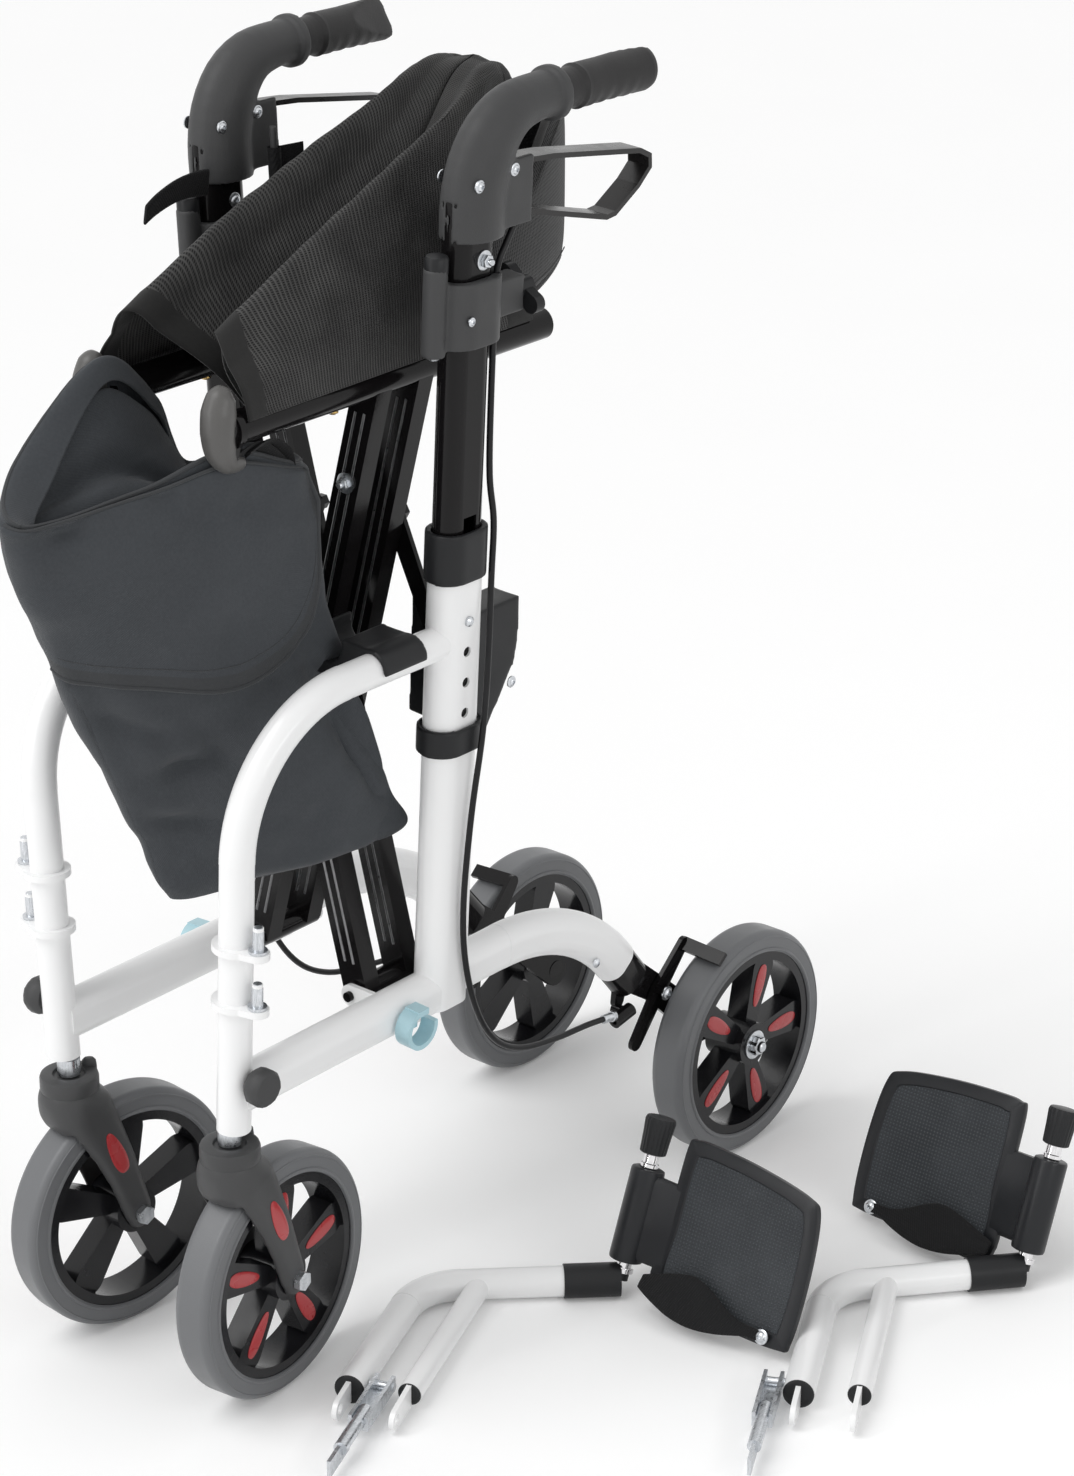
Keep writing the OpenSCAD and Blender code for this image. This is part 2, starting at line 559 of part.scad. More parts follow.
// The brace that is hinged on side s and carries the rail of the other side. The left one
// also carries the bolt of the crossing.
module seat_brace(s) color("#141517") half(s) {
    i = s > 0 ? 0 : 1;
    y0 = bar_y[i] - bar_t / 2 - 2;
    translate([hinge_x, y0, hinge_z]) rotate([-90, 0, 0]) {
        cylinder(r = hinge_r, h = sleeve_l);
        translate([0, 0, -8]) cylinder(r = journal_r, h = sleeve_l + 16);
    }
    difference() {
        for (k = [0, 2]) translate([hinge_x, bar_y[i] + k * bar_pitch, hinge_z])
            rotate([0, brace_slope - 180, 0])
            translate([brace_l / 2, 0, 0]) rotate([90, 0, 0]) linear_extrude(bar_t, center = true)
            square([brace_l - 4, bar_w], center = true);
        translate([0, -150, cross_z]) rotate([-90, 0, 0]) cylinder(r = pivot_r + (s > 0 ? 0 : run), h = 200);
    }
    translate([-hinge_x, rail_y, rail_z]) rotate([-90, 0, 0]) cylinder(r = rail_r, h = rail_l);
    translate([-hinge_x, rail_y - 1, rail_z]) front_view() {
        translate([0, 0, -2]) cylinder(r = rail_r + 2, h = 6);
        linear_extrude(10) taper([0, 2], cap_r, [0, -18], 7);
        translate([0, 0, 8]) linear_extrude(8) taper([0, 14], 9, [0, -6], 10);
    }
    if (s > 0) translate([0, bar_y[0] - bar_t / 2 - 6, cross_z]) rotate([-90, 0, 0]) {
        cylinder(r = pivot_r, h = 3 * bar_pitch + bar_t + 12);
        cylinder(r = 9, h = 6, $fn = 6);
        translate([0, 0, 3 * bar_pitch + bar_t + 6 + gap]) cylinder(r = 9, h = 6 - gap, $fn = 6);
    }
}
module stay_link(s) color("#141517") half(s) {
    i = s > 0 ? 0 : 1;
    a = [stay_x, stay_z];
    b = [stay_up * cos(brace_slope), cross_z + stay_up * sin(brace_slope)];
    translate([0, stay_y[i] + stay_t, 0]) front_view() {
        linear_extrude(stay_t) difference() {
            taper(a, 7, b, 9);
            translate(a) circle(r = journal_r + run);
        }
        translate([b.x, b.y, -9]) cylinder(r = 6, h = 9, $fn = 6);
    }
}

// Seat sling: on each side an outer panel from the rail to a slanting crest, and an inner
// panel that hangs from the crest to the middle of the sling

sling_front = rail_y + 4;
sling_back = 92;
sling_cut = bar_y[1] + 2 * bar_pitch + bar_t;
ridge = [0, 128, rail_z + rail_r + ridge_rise];
rail_front = [hinge_x, sling_front, rail_z + rail_r + 1];
rail_back = [hinge_x, sling_back, rail_z + rail_r + 1];
crest_part = crest_rise / ridge_rise;
crest = [hinge_x * (1 - crest_part), sling_front, rail_z + rail_r + crest_rise];
// The lowest point of the inner panel keeps the cloth's flat length from crest and ridge
flat_front = norm(ridge - [rail_back.x, ridge.y, rail_back.z]) - norm(crest - rail_front);
hang = sqrt(pow(flat_front, 2) - pow(crest.x, 2));
span = norm([ridge.y - crest.y, ridge.z - crest.z]);
fold_a = (pow(ridge.y - sling_front, 2) - pow(hang, 2) + pow(span, 2)) / (2 * span);
fold_h = sqrt(pow(ridge.y - sling_front, 2) - pow(fold_a, 2));
back_dir = [(crest.y - ridge.y) / span, (crest.z - ridge.z) / span];
valley = [0, ridge.y + fold_a * back_dir.x - fold_h * back_dir.y,
    ridge.z + fold_a * back_dir.y + fold_h * back_dir.x];
function moved(p, v) = [for (q = p) q + v];
// A flat panel of cloth through corner points, thickened to one side
module panel(p, t) {
    n = t * unit(cross(p[1] - p[0], p[2] - p[0]));
    skin([p, moved(p, n)]);
}
module sling_outer(s) color("#1f2023") half(s) {
    for (y = [[sling_front + 1, bar_y[0] - bar_t], [sling_cut, sling_back - 1]])
        translate([hinge_x, y[0], rail_z]) rotate([-90, 0, 0])
        ring(rail_r + gap + cloth_t, rail_r + gap, y[1] - y[0]);
    panel([rail_front, crest, ridge + [2, 0, 0], rail_back], cloth_t);
}
module sling_inner(s) color("#26272a") half(s)
    panel([crest + [-4, 0, 0], valley + [1, 0, 0], ridge + [1, -8, -14]], cloth_t);

// Backrest halves, padded, from the clamp's pin to the crease

crease_x = back_t / 2 - 1.4;
back_pin_x = frame_x + (back_z + back_h / 2) * sin(splay) + back_pin.x;
function back_line(t) = [back_pin_x * (1 - t) + crease_x * t, back_pin.y + (back_y - back_pin.y) * t]
    + 12 * 4 * t * (1 - t) * unit([back_y - back_pin.y, back_pin_x]);
function back_ring(t, n) = let (p = back_line(t), d = unit(back_line(t + 0.02) - back_line(t - 0.02)),
    w = [-d.y, d.x], lean = sin(splay) * (1 - t))
    [for (k = [0 : n - 1]) let (a = 360 * k / n, h = sign(sin(a)) * pow(abs(sin(a)), 0.45) * back_h / 2,
        o = cos(a) * (back_t / 2 - 2 * pow(abs(2 * t - 1), 4)))
        [p.x + w.x * o + h * lean, p.y + w.y * o, back_z + back_h / 2 + h]];
module backrest_half(s) color("#232427") half(s) {
    skin([for (k = [0 : 12]) back_ring(0.07 + 0.93 * k / 12, 20)]);
    translate([frame_x, 0, 0]) rotate([0, splay, 0]) translate([back_pin.x, back_pin.y, clamp_z + 54])
        difference() {
        union() {
            cylinder(r = 5, h = 44);
            rotate([0, 0, 101]) translate([0, -1.5, 0]) cube([26, 3, 44]);
        }
        translate([0, 0, -1]) cylinder(r = 3 + gap, h = 60);
    }
}

// Under-seat bag in two halves, hanging collapsed between the rails: stations of y, height over
// the rails, half width and half depth

bag_line = [[-212, -384, 8, 26], [-214, -352, 26, 64], [-218, -272, 42, 104], [-220, -182, 51, 118],
    [-220, -92, 54, 116], [-226, -34, 46, 104], [-266, 4, 36, 56]];
// The loop that hangs a bag half on its rail's cap
bag_loop = [14, 5, 44];
module bag_half(s) color("#33363b") half(s) {
    skin([for (b = smooth(bag_line, 2)) [for (k = [0 : 12])
        let (a = 15 * k - 90, n = sin(a))
        [b[2] * pow(abs(cos(a)), 0.6) + 0.2, b[0] + b[3] * sign(n) * pow(abs(n), 0.8), rail_z + b[1]]]]);
    translate([hinge_x - cap_r - gap - bag_loop.x, rail_y - 10.5, rail_z + 4 - bag_loop.z]) cube(bag_loop);
}

// Footrests. In their own axes the post runs along +y with the strut beside it at +x, the ears
// are at the post's lower end, and all lies on the floor

foot_r = foot_tube_d / 2;
clamp_t = 1.5;
foot_z = foot_r + clamp_t;
bend_r = 50;
bend_y = post_l - bend_r * tan(foot_turn / 2);
foot_end = [reach_l * sin(foot_turn), post_l + reach_l * cos(foot_turn)];
ear_t = 4;
foot_at = [[149, -196], [416, 21]];
foot_yaw = [22, 28];
hinge_clamp = 46;
hinge_seat = 8;
latch_pin_r = 3.5;
latch_x = [flange_pitch / 2, -foot_r - 9];
latch_pin_y = 13;
module foot_place(s) {
    i = s > 0 ? 0 : 1;
    translate([foot_at[i].x, foot_at[i].y, foot_z]) rotate([0, 0, foot_yaw[i]]) children();
}
module footrest_hanger(s) color("white") foot_place(s) difference() {
    union() {
        rotate([-90, 0, 0]) cylinder(r = foot_r, h = bend_y + 1);
        translate([bend_r, bend_y, 0]) rotate([0, 0, 180 - foot_turn]) rotate_extrude(angle = foot_turn)
            translate([bend_r, 0]) circle(d = foot_tube_d + swell);
        translate([0, post_l, 0]) rotate([0, 0, -foot_turn]) translate([0, bend_r * tan(foot_turn / 2) - 1, 0])
            rotate([-90, 0, 0])
                cylinder(r = foot_r, h = reach_l - hinge_clamp + hinge_seat + 1 - bend_r * tan(foot_turn / 2));
        translate([flange_pitch, 8, 0]) rotate([-90, 0, 0])
            cylinder(r = foot_r - 3, h = post_l - 8 + flange_pitch / tan(foot_turn) - 2);
        for (x = [0, flange_pitch]) translate([x - ear_t / 2, 0, 0]) side_view() linear_extrude(ear_t)
            taper([14, 0], 9, [-26, -2], 8.5);
    }
    translate([-40, -26, -2]) rotate([0, 90, 0]) cylinder(r = hang_pin_d / 2 + 0.5, h = 120);
    translate([s > 0 ? foot_r - 6.5 : -foot_r - 1, latch_pin_y, 0]) rotate([0, 90, 0])
        cylinder(r = latch_pin_r + run, h = 7.5);
}
// The plate's upright rod leans back; its axes have x along the plate and z up the rod
module plate_place(s) if (s > 0) translate(foot_spot(s)) rotate([-plate_lean, 0, 0]) children();
    else translate(foot_spot(s)) mirror([1, 0, 0]) rotate([-plate_lean, 0, 0]) children();
function foot_spot(s) = let (i = s > 0 ? 0 : 1, a = foot_yaw[i], o = foot_at[i])
    [o.x + foot_end.x * cos(a) - foot_end.y * sin(a), o.y + foot_end.x * sin(a) + foot_end.y * cos(a), foot_z];
rod_r = 6;
sleeve_z = 16;
plate_sleeve = 78;
plate_t = 8;
module footrest_hinge(s) color("#1c1d1f") {
    foot_place(s) translate([0, post_l, 0]) rotate([0, 0, -foot_turn]) rotate([-90, 0, 0]) difference() {
        translate([0, 0, reach_l - hinge_clamp]) cylinder(r = foot_r + clamp_t, h = hinge_clamp);
        translate([0, 0, reach_l - hinge_clamp - 1]) cylinder(r = foot_r, h = hinge_seat + 1);
    }
    plate_place(s) {
        cylinder(r = rod_r, h = sleeve_z + plate_sleeve + 16);
        translate([0, 0, sleeve_z + plate_sleeve + 12]) cylinder(r1 = 9.5, r2 = 11.5, h = 30);
    }
}
module footplate(s) color("#1a1b1e") plate_place(s) difference() {
    union() {
        translate([0, 0, sleeve_z]) cylinder(r = 14, h = plate_sleeve);
        translate([0, plate_t / 2, 0]) rotate([90, 0, 0]) linear_extrude(plate_t) {
            translate([10, sleeve_z + 6]) square([26, plate_sleeve - 12]);
            translate([32, -4]) difference() {
                square([plate_w - 22, plate_l]);
                translate([plate_w - 22, plate_l]) rotate(45) square([20, 34], center = true);
            }
        }
    }
    translate([0, 0, sleeve_z - 1]) cylinder(r = rod_r + run, h = plate_sleeve + 2);
}
module footrest_latch(s) color("#b9bdc2") foot_place(s) translate([latch_x[s > 0 ? 0 : 1], latch_pin_y, 0]) {
    translate([-8, -57, -5]) cube([16, 62, 3]);
    for (x = [-8, 5]) translate([x, -57, -5]) cube([3, 62, 12]);
    translate([s > 0 ? foot_r - 6 - latch_x[0] : -9, 0, 0]) rotate([0, 90, 0])
        cylinder(r = latch_pin_r, h = abs(latch_x[s > 0 ? 0 : 1]) - foot_r + 15);
    translate([0, -39, 2]) rotate([90, 0, 0]) cylinder(r = 5.5, h = 56);
    translate([-1.5, -119, -8]) cube([3, 40, 14]);
}
module heel_strap(s) color("#161719") plate_place(s) translate([0, -plate_t / 2, 0]) rotate([90, 0, 0])
    linear_extrude(2.5)
    polygon([[46, 6], [68, 34], [plate_w - 14, 4], [plate_w - 14, -2], [46, -2]]);

place() side_frame(left);  // frame_left
place() side_frame(right);  // frame_right
place() mouldings(left);  // mouldings_left
place() mouldings(right);  // mouldings_right
place() frame_clip(left);  // frame_clip_left
place() frame_clip(right);  // frame_clip_right
place() height_tube(left);  // height_tube_left
place() height_tube(right);  // height_tube_right
place() handle_elbow(left);  // handle_elbow_left
place() handle_elbow(right);  // handle_elbow_right
place() grip(left);  // grip_left
place() grip(right);  // grip_right
place() brake_lever(left);  // brake_lever_left
place() brake_lever(right);  // brake_lever_right
place() backrest_clamp(left);  // backrest_clamp_left
place() backrest_clamp(right);  // backrest_clamp_right
place() wing_knob(left);  // wing_knob_left
place() wing_knob(right);  // wing_knob_right
place() height_button(left);  // height_button_left
place() height_button(right);  // height_button_right
place() axle_bracket(left);  // axle_bracket_left
place() axle_bracket(right);  // axle_bracket_right
place() brake_arm(left);  // brake_arm_left
place() brake_arm(right);  // brake_arm_right
place() brake_cable(left);  // brake_cable_left
place() brake_cable(right);  // brake_cable_right
place() rear_tyre(left);  // rear_tyre_left
place() rear_tyre(right);  // rear_tyre_right
place() rear_rim(left);  // rear_rim_left
place() rear_rim(right);  // rear_rim_right
place() caster_fork(left);  // caster_fork_left
place() caster_fork(right);  // caster_fork_right
place() caster_bolts(left);  // caster_bolts_left
place() caster_bolts(right);  // caster_bolts_right
place() caster_tyre(left);  // caster_tyre_left
place() caster_tyre(right);  // caster_tyre_right
place() caster_rim(left);  // caster_rim_left
place() caster_rim(right);  // caster_rim_right
place() seat_brace(left);  // seat_brace_left
place() seat_brace(right);  // seat_brace_right
place() stay_link(left);  // stay_link_left
place() stay_link(right);  // stay_link_right
place() sling_outer(left);  // sling_outer_left
place() sling_outer(right);  // sling_outer_right
place() sling_inner(left);  // sling_inner_left
place() sling_inner(right);  // sling_inner_right
place() backrest_half(left);  // backrest_left
place() backrest_half(right);  // backrest_right
place() bag_half(left);  // bag_left
place() bag_half(right);  // bag_right
place() footrest_hanger(left);  // footrest_hanger_left
place() footrest_hanger(right);  // footrest_hanger_right
place() footrest_hinge(left);  // footrest_hinge_left
place() footrest_hinge(right);  // footrest_hinge_right
place() footplate(left);  // footplate_left
place() footplate(right);  // footplate_right
place() footrest_latch(left);  // footrest_latch_left
place() footrest_latch(right);  // footrest_latch_right
place() heel_strap(left);  // heel_strap_left
place() heel_strap(right);  // heel_strap_right
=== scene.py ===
"""Looks of a folding rollator that also serves as a transport chair.

Shapes are written in millimetres from the chair's middle plane, front at -y, left at +x,
and at() brings them into the shared frame in metres.
"""
from math import copysign, cos, exp, floor, pi, radians, sin

import bmesh
import bpy
import numpy as np
from mathutils import Matrix, Vector, noise


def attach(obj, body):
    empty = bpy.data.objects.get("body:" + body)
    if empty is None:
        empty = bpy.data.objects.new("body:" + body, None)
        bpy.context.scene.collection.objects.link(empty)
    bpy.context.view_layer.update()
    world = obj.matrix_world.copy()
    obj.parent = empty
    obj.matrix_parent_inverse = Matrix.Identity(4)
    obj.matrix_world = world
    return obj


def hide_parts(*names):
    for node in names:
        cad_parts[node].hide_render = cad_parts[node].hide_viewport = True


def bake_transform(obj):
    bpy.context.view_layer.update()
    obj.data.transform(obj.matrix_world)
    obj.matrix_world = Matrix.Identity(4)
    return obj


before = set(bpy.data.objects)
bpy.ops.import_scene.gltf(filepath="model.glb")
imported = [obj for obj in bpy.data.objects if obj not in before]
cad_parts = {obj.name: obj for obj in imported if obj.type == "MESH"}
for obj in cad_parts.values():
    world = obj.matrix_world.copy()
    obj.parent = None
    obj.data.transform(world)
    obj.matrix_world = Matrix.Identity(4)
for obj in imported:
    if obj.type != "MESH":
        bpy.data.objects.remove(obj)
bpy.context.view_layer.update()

LEFT, RIGHT = 1, -1
SIDES = ((LEFT, "left"), (RIGHT, "right"))
MID_X, MID_Y = 162.55, 44.8
FRAME_X = 78
SPLAY = radians(3)


def at(p):
    """A point of the chair, in millimetres, in the shared frame."""
    return Vector(((p[0] - MID_X) / 1000, (p[1] - MID_Y) / 1000, p[2] / 1000))


def on_side(s, u, y, w):
    """A point in the leaning side frame's own axes: outward, y, up."""
    return (s * (FRAME_X + u * cos(SPLAY) + w * sin(SPLAY)), y,
            -u * sin(SPLAY) + w * cos(SPLAY))


def way_in(place, s, *p):
    """A direction in the axes that place() draws in."""
    return tuple(a - b for a, b in zip(place(s, *p), place(s, 0, 0, 0)))


def smooth_line(points, steps, closed=False):
    """The smooth curve through the points, as the part's source draws it."""
    p = [np.array(q, float) for q in points]
    n = len(p)
    out = []
    for i in range(n if closed else n - 1):
        a, b, c, d = (p[k % n if closed else min(max(k, 0), n - 1)] for k in range(i - 1, i + 3))
        for k in range(steps):
            t = k / steps
            out.append(0.5 * (2 * b + (c - a) * t + (2 * a - 5 * b + 4 * c - d) * t * t
                              + (3 * b - a - 3 * c + d) * t ** 3))
    return out if closed else out + [p[-1]]


def round_steps(n):
    """Cosine and sine of n even steps round a circle."""
    return [(cos(2 * pi * k / n), sin(2 * pi * k / n)) for k in range(n)]


def arc(t):
    """Rises from 0 to 1 and falls back to 0 as t goes from 0 to 1."""
    return sin(pi * t)


def signed_power(value, power):
    return copysign(abs(value) ** power, value)


def ease(t):
    t = min(max(t, 0.0), 1.0)
    return t * t * (3 - 2 * t)


def link(obj):
    bpy.context.scene.collection.objects.link(obj)
    return obj


def stand_for(piece, body, node):
    """Lets a piece ride on a body in the place of a node."""
    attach(piece, body)
    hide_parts(node)


# Camera, fitted to the photograph

PHOTO_H = 1476
CAMERA_AT = (1883.2, -2050.9, 1629.9)
CAMERA_TURN = (39.80, 22.96, 0.19)
CAMERA_SHIFT = (-3.9, 1.3)
LENS, SENSOR = 94.26, 36


def aim_camera():
    azimuth, elevation, roll = (radians(a) for a in CAMERA_TURN)
    back = Vector((sin(azimuth) * cos(elevation), -cos(azimuth) * cos(elevation),
                   sin(elevation)))
    level = Vector((cos(azimuth), sin(azimuth), 0))
    up = back.cross(level)
    x_axis = cos(roll) * level + sin(roll) * up
    y_axis = back.cross(x_axis)
    data = bpy.data.cameras.new("camera")
    data.lens = LENS
    data.sensor_width = SENSOR
    data.shift_x, data.shift_y = (v / PHOTO_H for v in CAMERA_SHIFT)
    camera = link(bpy.data.objects.new("camera", data))
    turn = Matrix((x_axis, y_axis, back)).transposed().to_4x4()
    camera.matrix_world = Matrix.Translation(at(CAMERA_AT)) @ turn
    bpy.context.scene.camera = camera


aim_camera()


# Materials

class Finish:
    """A procedural material, with short calls for its nodes."""

    def __init__(self, name, rough=0.5, metal=0.0, coat=0.0, sheen=0.0, level=0.5):
        self.material = bpy.data.materials.new(name)
        self.material.use_nodes = True
        self.tree = self.material.node_tree
        self.shader = self.tree.nodes["Principled BSDF"]
        for socket, value in (("Roughness", rough), ("Metallic", metal), ("Coat Weight", coat),
                              ("Coat Roughness", 0.1), ("Sheen Weight", sheen),
                              ("Specular IOR Level", level)):
            self.shader.inputs[socket].default_value = value

    def put(self, value, socket):
        if hasattr(value, "is_linked"):
            self.tree.links.new(value, socket)
        else:
            socket.default_value = value

    def node(self, kind, values, out=0, **settings):
        """A node's output; its inputs are set, or linked to other outputs."""
        n = self.tree.nodes.new("ShaderNode" + kind)
        for name, value in settings.items():
            setattr(n, name, value)
        for key, value in values.items():
            self.put(value, n.inputs[key])
        return n.outputs[out]

    def place(self, kind="Object"):
        return self.node("TexCoord", {}, kind)

    def flat(self):
        """The two flat cloth coordinates, in metres."""
        return [self.node("SeparateXYZ", {0: self.place("UV")}, i) for i in (0, 1)]

    def noise(self, scale, detail=3, vector=None):
        vector = self.place() if vector is None else vector
        return self.node("TexNoise", {"Scale": scale, "Detail": detail, "Vector": vector}, "Fac")

    def math(self, how, a, b=0.0):
        return self.node("Math", {0: a, 1: b}, operation=how)

    def blend(self, a, share_a, b, share_b):
        return self.math("ADD", self.math("MULTIPLY", a, share_a), self.math("MULTIPLY", b, share_b))

    def span(self, value, low, high, to_low=0.0, to_high=1.0):
        return self.node("MapRange", dict(enumerate((value, low, high, to_low, to_high))))

    def mix(self, share, a, b):
        return self.node("Mix", {"Factor": share, 6: (*a, 1), 7: (*b, 1)}, 2, data_type="RGBA")

    def wave(self, value, pitch):
        """A wave from -1 to 1 with that pitch."""
        return self.math("SINE", self.math("MULTIPLY", value, 2 * pi / pitch))

    def colour(self, value):
        self.put(value, self.shader.inputs["Base Color"])

    def rough(self, value):
        self.put(value, self.shader.inputs["Roughness"])

    def bump(self, height, depth, strength=1.0, under=None):
        values = {"Strength": strength, "Distance": depth, "Height": height}
        if under is not None:
            values["Normal"] = under
        normal = self.node("Bump", values)
        self.put(normal, self.shader.inputs["Normal"])
        return normal


def painted(name, dark, light, rough, grain, depth, spread=0.06, coat=0.0, level=0.5):
    """Paint or moulded plastic: mottled colour, uneven gloss and a fine grain."""
    f = Finish(name, rough, coat=coat, level=level)
    cloud = f.noise(9, 4)
    fine = f.noise(grain, 2)
    f.colour(f.mix(f.blend(cloud, 0.7, fine, 0.3), dark, light))
    f.rough(f.span(f.noise(45, 3), 0.3, 0.7, rough - spread, rough + spread))
    f.bump(fine, depth)
    return f.material


def metal(name, dark, light, rough):
    """Plated steel with fine scratches."""
    f = Finish(name, rough, 1.0)
    scratch = f.noise(160, 4, f.node("Mapping", {"Vector": f.place(), "Scale": (9, 1, 1)}))
    f.colour(f.mix(f.span(scratch, 0.3, 0.7), dark, light))
    f.rough(f.span(f.noise(220, 3), 0.3, 0.7, rough - 0.08, rough + 0.1))
    f.bump(scratch, 0.00006)
    return f.material


def netting(name, gap_tone, thread, pitch_u, pitch_v, depth):
    """Open woven mesh: ribs across, with a fine gap between the threads."""
    f = Finish(name, 0.62, sheen=0.05, level=0.18)
    u, v = f.flat()
    slant = f.math("ADD", u, f.math("MULTIPLY", v, 0.32))
    rib = f.span(f.wave(slant, pitch_u), -0.7, 0.9)
    pick = f.span(f.wave(v, pitch_v), -0.8, 0.8)
    height = f.math("MAXIMUM", f.math("MULTIPLY", rib, 0.9), f.math("MULTIPLY", pick, 0.65))
    worn = f.span(f.noise(30, 4), 0.35, 0.7, 0.55, 1.0)
    f.colour(f.mix(f.math("MULTIPLY", height, worn), gap_tone, thread))
    f.rough(f.span(height, 0, 1, 0.75, 0.5))
    f.bump(height, depth)
    return f.material


def woven(name, dark, light, pitch, depth, rough, sheen, slope=0.0):
    """Close plain weave with soft unevenness."""
    f = Finish(name, rough, sheen=sheen, level=0.15)
    u, v = f.flat()
    warp = f.wave(f.math("ADD", u, f.math("MULTIPLY", v, slope)), pitch)
    weft = f.wave(v, pitch)
    height = f.span(f.math("MULTIPLY", warp, weft), -1, 1)
    cloud = f.noise(16, 5)
    speckle = f.noise(420, 2)
    tone = f.blend(cloud, 0.45, speckle, 0.35)
    f.colour(f.mix(f.math("ADD", f.math("MULTIPLY", height, 0.2), tone), dark, light))
    f.rough(f.span(cloud, 0.3, 0.7, rough - 0.06, rough + 0.06))
    f.bump(f.noise(70, 4), 0.0006, 0.6, f.bump(height, depth, 0.8))
    return f.material


def dotted(name, dark, light, pitch):
    """Moulded plate with rows of fine raised dots."""
    f = Finish(name, 0.42, level=0.28)
    u, v = f.flat()
    dots = f.math("MULTIPLY", f.span(f.wave(u, pitch), -0.2, 0.8), f.span(f.wave(v, pitch), -0.2, 0.8))
    f.colour(f.mix(f.blend(dots, 0.6, f.noise(25, 4), 0.4), dark, light))
    f.rough(f.span(dots, 0, 1, 0.55, 0.34))
    f.bump(dots, 0.0007)
    return f.material


WHITE = painted("white_paint", (0.895, 0.897, 0.898), (0.915, 0.917, 0.918), 0.3, 700, 0.00002, 0.02,
                coat=0.2)
BLACK_PAINT = painted("black_paint", (0.0045, 0.0041, 0.0045), (0.009, 0.0081, 0.0085), 0.13, 500, 0.00003,
                      0.03, level=0.2)
BLACK_MOULD = painted("black_moulding", (0.010, 0.0105, 0.0115), (0.019, 0.0195, 0.021), 0.4, 1100, 0.0001,
                      level=0.25)
GREY_MOULD = painted("grey_moulding", (0.043, 0.0433, 0.0442), (0.066, 0.0665, 0.0678), 0.5, 1300, 0.00018,
                     level=0.28)
GRIP = painted("grip_rubber", (0.02, 0.0196, 0.02), (0.033, 0.0322, 0.0326), 0.5, 900, 0.0002, level=0.25)
LEVER = painted("lever_strip", (0.010, 0.0095, 0.0095), (0.02, 0.0185, 0.0185), 0.28, 600, 0.00006,
                level=0.35)
CLIP = painted("blue_clip", (0.40, 0.62, 0.69), (0.50, 0.72, 0.78), 0.36, 500, 0.00006)
TYRE = painted("tyre", (0.128, 0.132, 0.138), (0.168, 0.172, 0.179), 0.4, 1000, 0.00012, level=0.42)
RIM = painted("rim", (0.0055, 0.0055, 0.007), (0.011, 0.011, 0.0125), 0.22, 900, 0.00006, level=0.32)
FORK = painted("fork", (0.046, 0.0466, 0.0478), (0.068, 0.0686, 0.0702), 0.42, 1100, 0.00015, level=0.3)
RED = painted("red_inlay", (0.36, 0.022, 0.026), (0.50, 0.04, 0.045), 0.28, 800, 0.00008, coat=0.2)
CABLE = painted("cable_sheath", (0.006, 0.006, 0.007), (0.012, 0.012, 0.013), 0.36, 1500, 0.00008,
                level=0.25)
ZINC = metal("zinc", (0.50, 0.52, 0.54), (0.72, 0.74, 0.77), 0.3)
CHROME = metal("chrome", (0.70, 0.69, 0.70), (0.84, 0.83, 0.84), 0.14)
BRASS = metal("brass", (0.55, 0.36, 0.12), (0.72, 0.50, 0.20), 0.3)
CAP = painted("cap_moulding", (0.070, 0.068, 0.066), (0.105, 0.102, 0.098), 0.36, 1000, 0.0001)
# Bright grey metal for the strips that paint highlights along the seat brace bars
BAR_HIGHLIGHT = metal("bar_highlight", (0.16, 0.16, 0.165), (0.26, 0.26, 0.265), 0.34)
SLING = netting("sling_mesh", (0.0024, 0.0024, 0.0028), (0.092, 0.091, 0.089), 0.0034, 0.0017, 0.0008)
BACK = netting("backrest_mesh", (0.003, 0.003, 0.0033), (0.014, 0.014, 0.0145), 0.003, 0.003, 0.0004)
HEM = woven("hem_ribbon", (0.014, 0.014, 0.014), (0.03, 0.0295, 0.029), 0.0011, 0.00018, 0.7, 0.1)
BAG = woven("bag_nylon", (0.026, 0.0290, 0.0334), (0.078, 0.0845, 0.0925), 0.0016, 0.0002, 0.7, 0.12)
BINDING = woven("bag_binding", (0.031, 0.0332, 0.0362), (0.060, 0.0625, 0.0655), 0.0011, 0.0002, 0.66, 0.12)
WEBBING = woven("webbing", (0.005, 0.005, 0.0055), (0.014, 0.014, 0.0148), 0.0022, 0.0005, 0.7, 0.06, 0.6)
PLATE_EDGE = painted("plate_moulding", (0.0105, 0.0111, 0.0128), (0.018, 0.0191, 0.0218), 0.36, 900, 0.0001,
                     level=0.3)
PLATE_DOTS = dotted("plate_dots", (0.023, 0.0256, 0.0290), (0.094, 0.1035, 0.1130), 0.003)

NODE_FINISH = {
    "frame": WHITE, "mouldings": BLACK_MOULD, "frame_clip": CLIP, "height_tube": BLACK_PAINT,
    "handle_elbow": GREY_MOULD, "grip": GRIP, "brake_lever": LEVER, "backrest_clamp": GREY_MOULD,
    "wing_knob": BLACK_MOULD, "height_button": ZINC, "axle_bracket": BLACK_PAINT, "brake_arm": BLACK_PAINT,
    "brake_cable": CABLE, "rear_tyre": TYRE, "rear_rim": RIM, "caster_fork": FORK, "caster_bolts": ZINC,
    "caster_tyre": TYRE, "caster_rim": RIM, "seat_brace": BLACK_PAINT, "stay_link": BLACK_PAINT,
    "sling_outer": SLING, "sling_inner": SLING, "backrest": BACK, "bag": BAG, "footrest_hanger": WHITE,
    "footrest_hinge": BLACK_MOULD, "footplate": PLATE_EDGE, "footrest_latch": ZINC, "heel_strap": WEBBING}


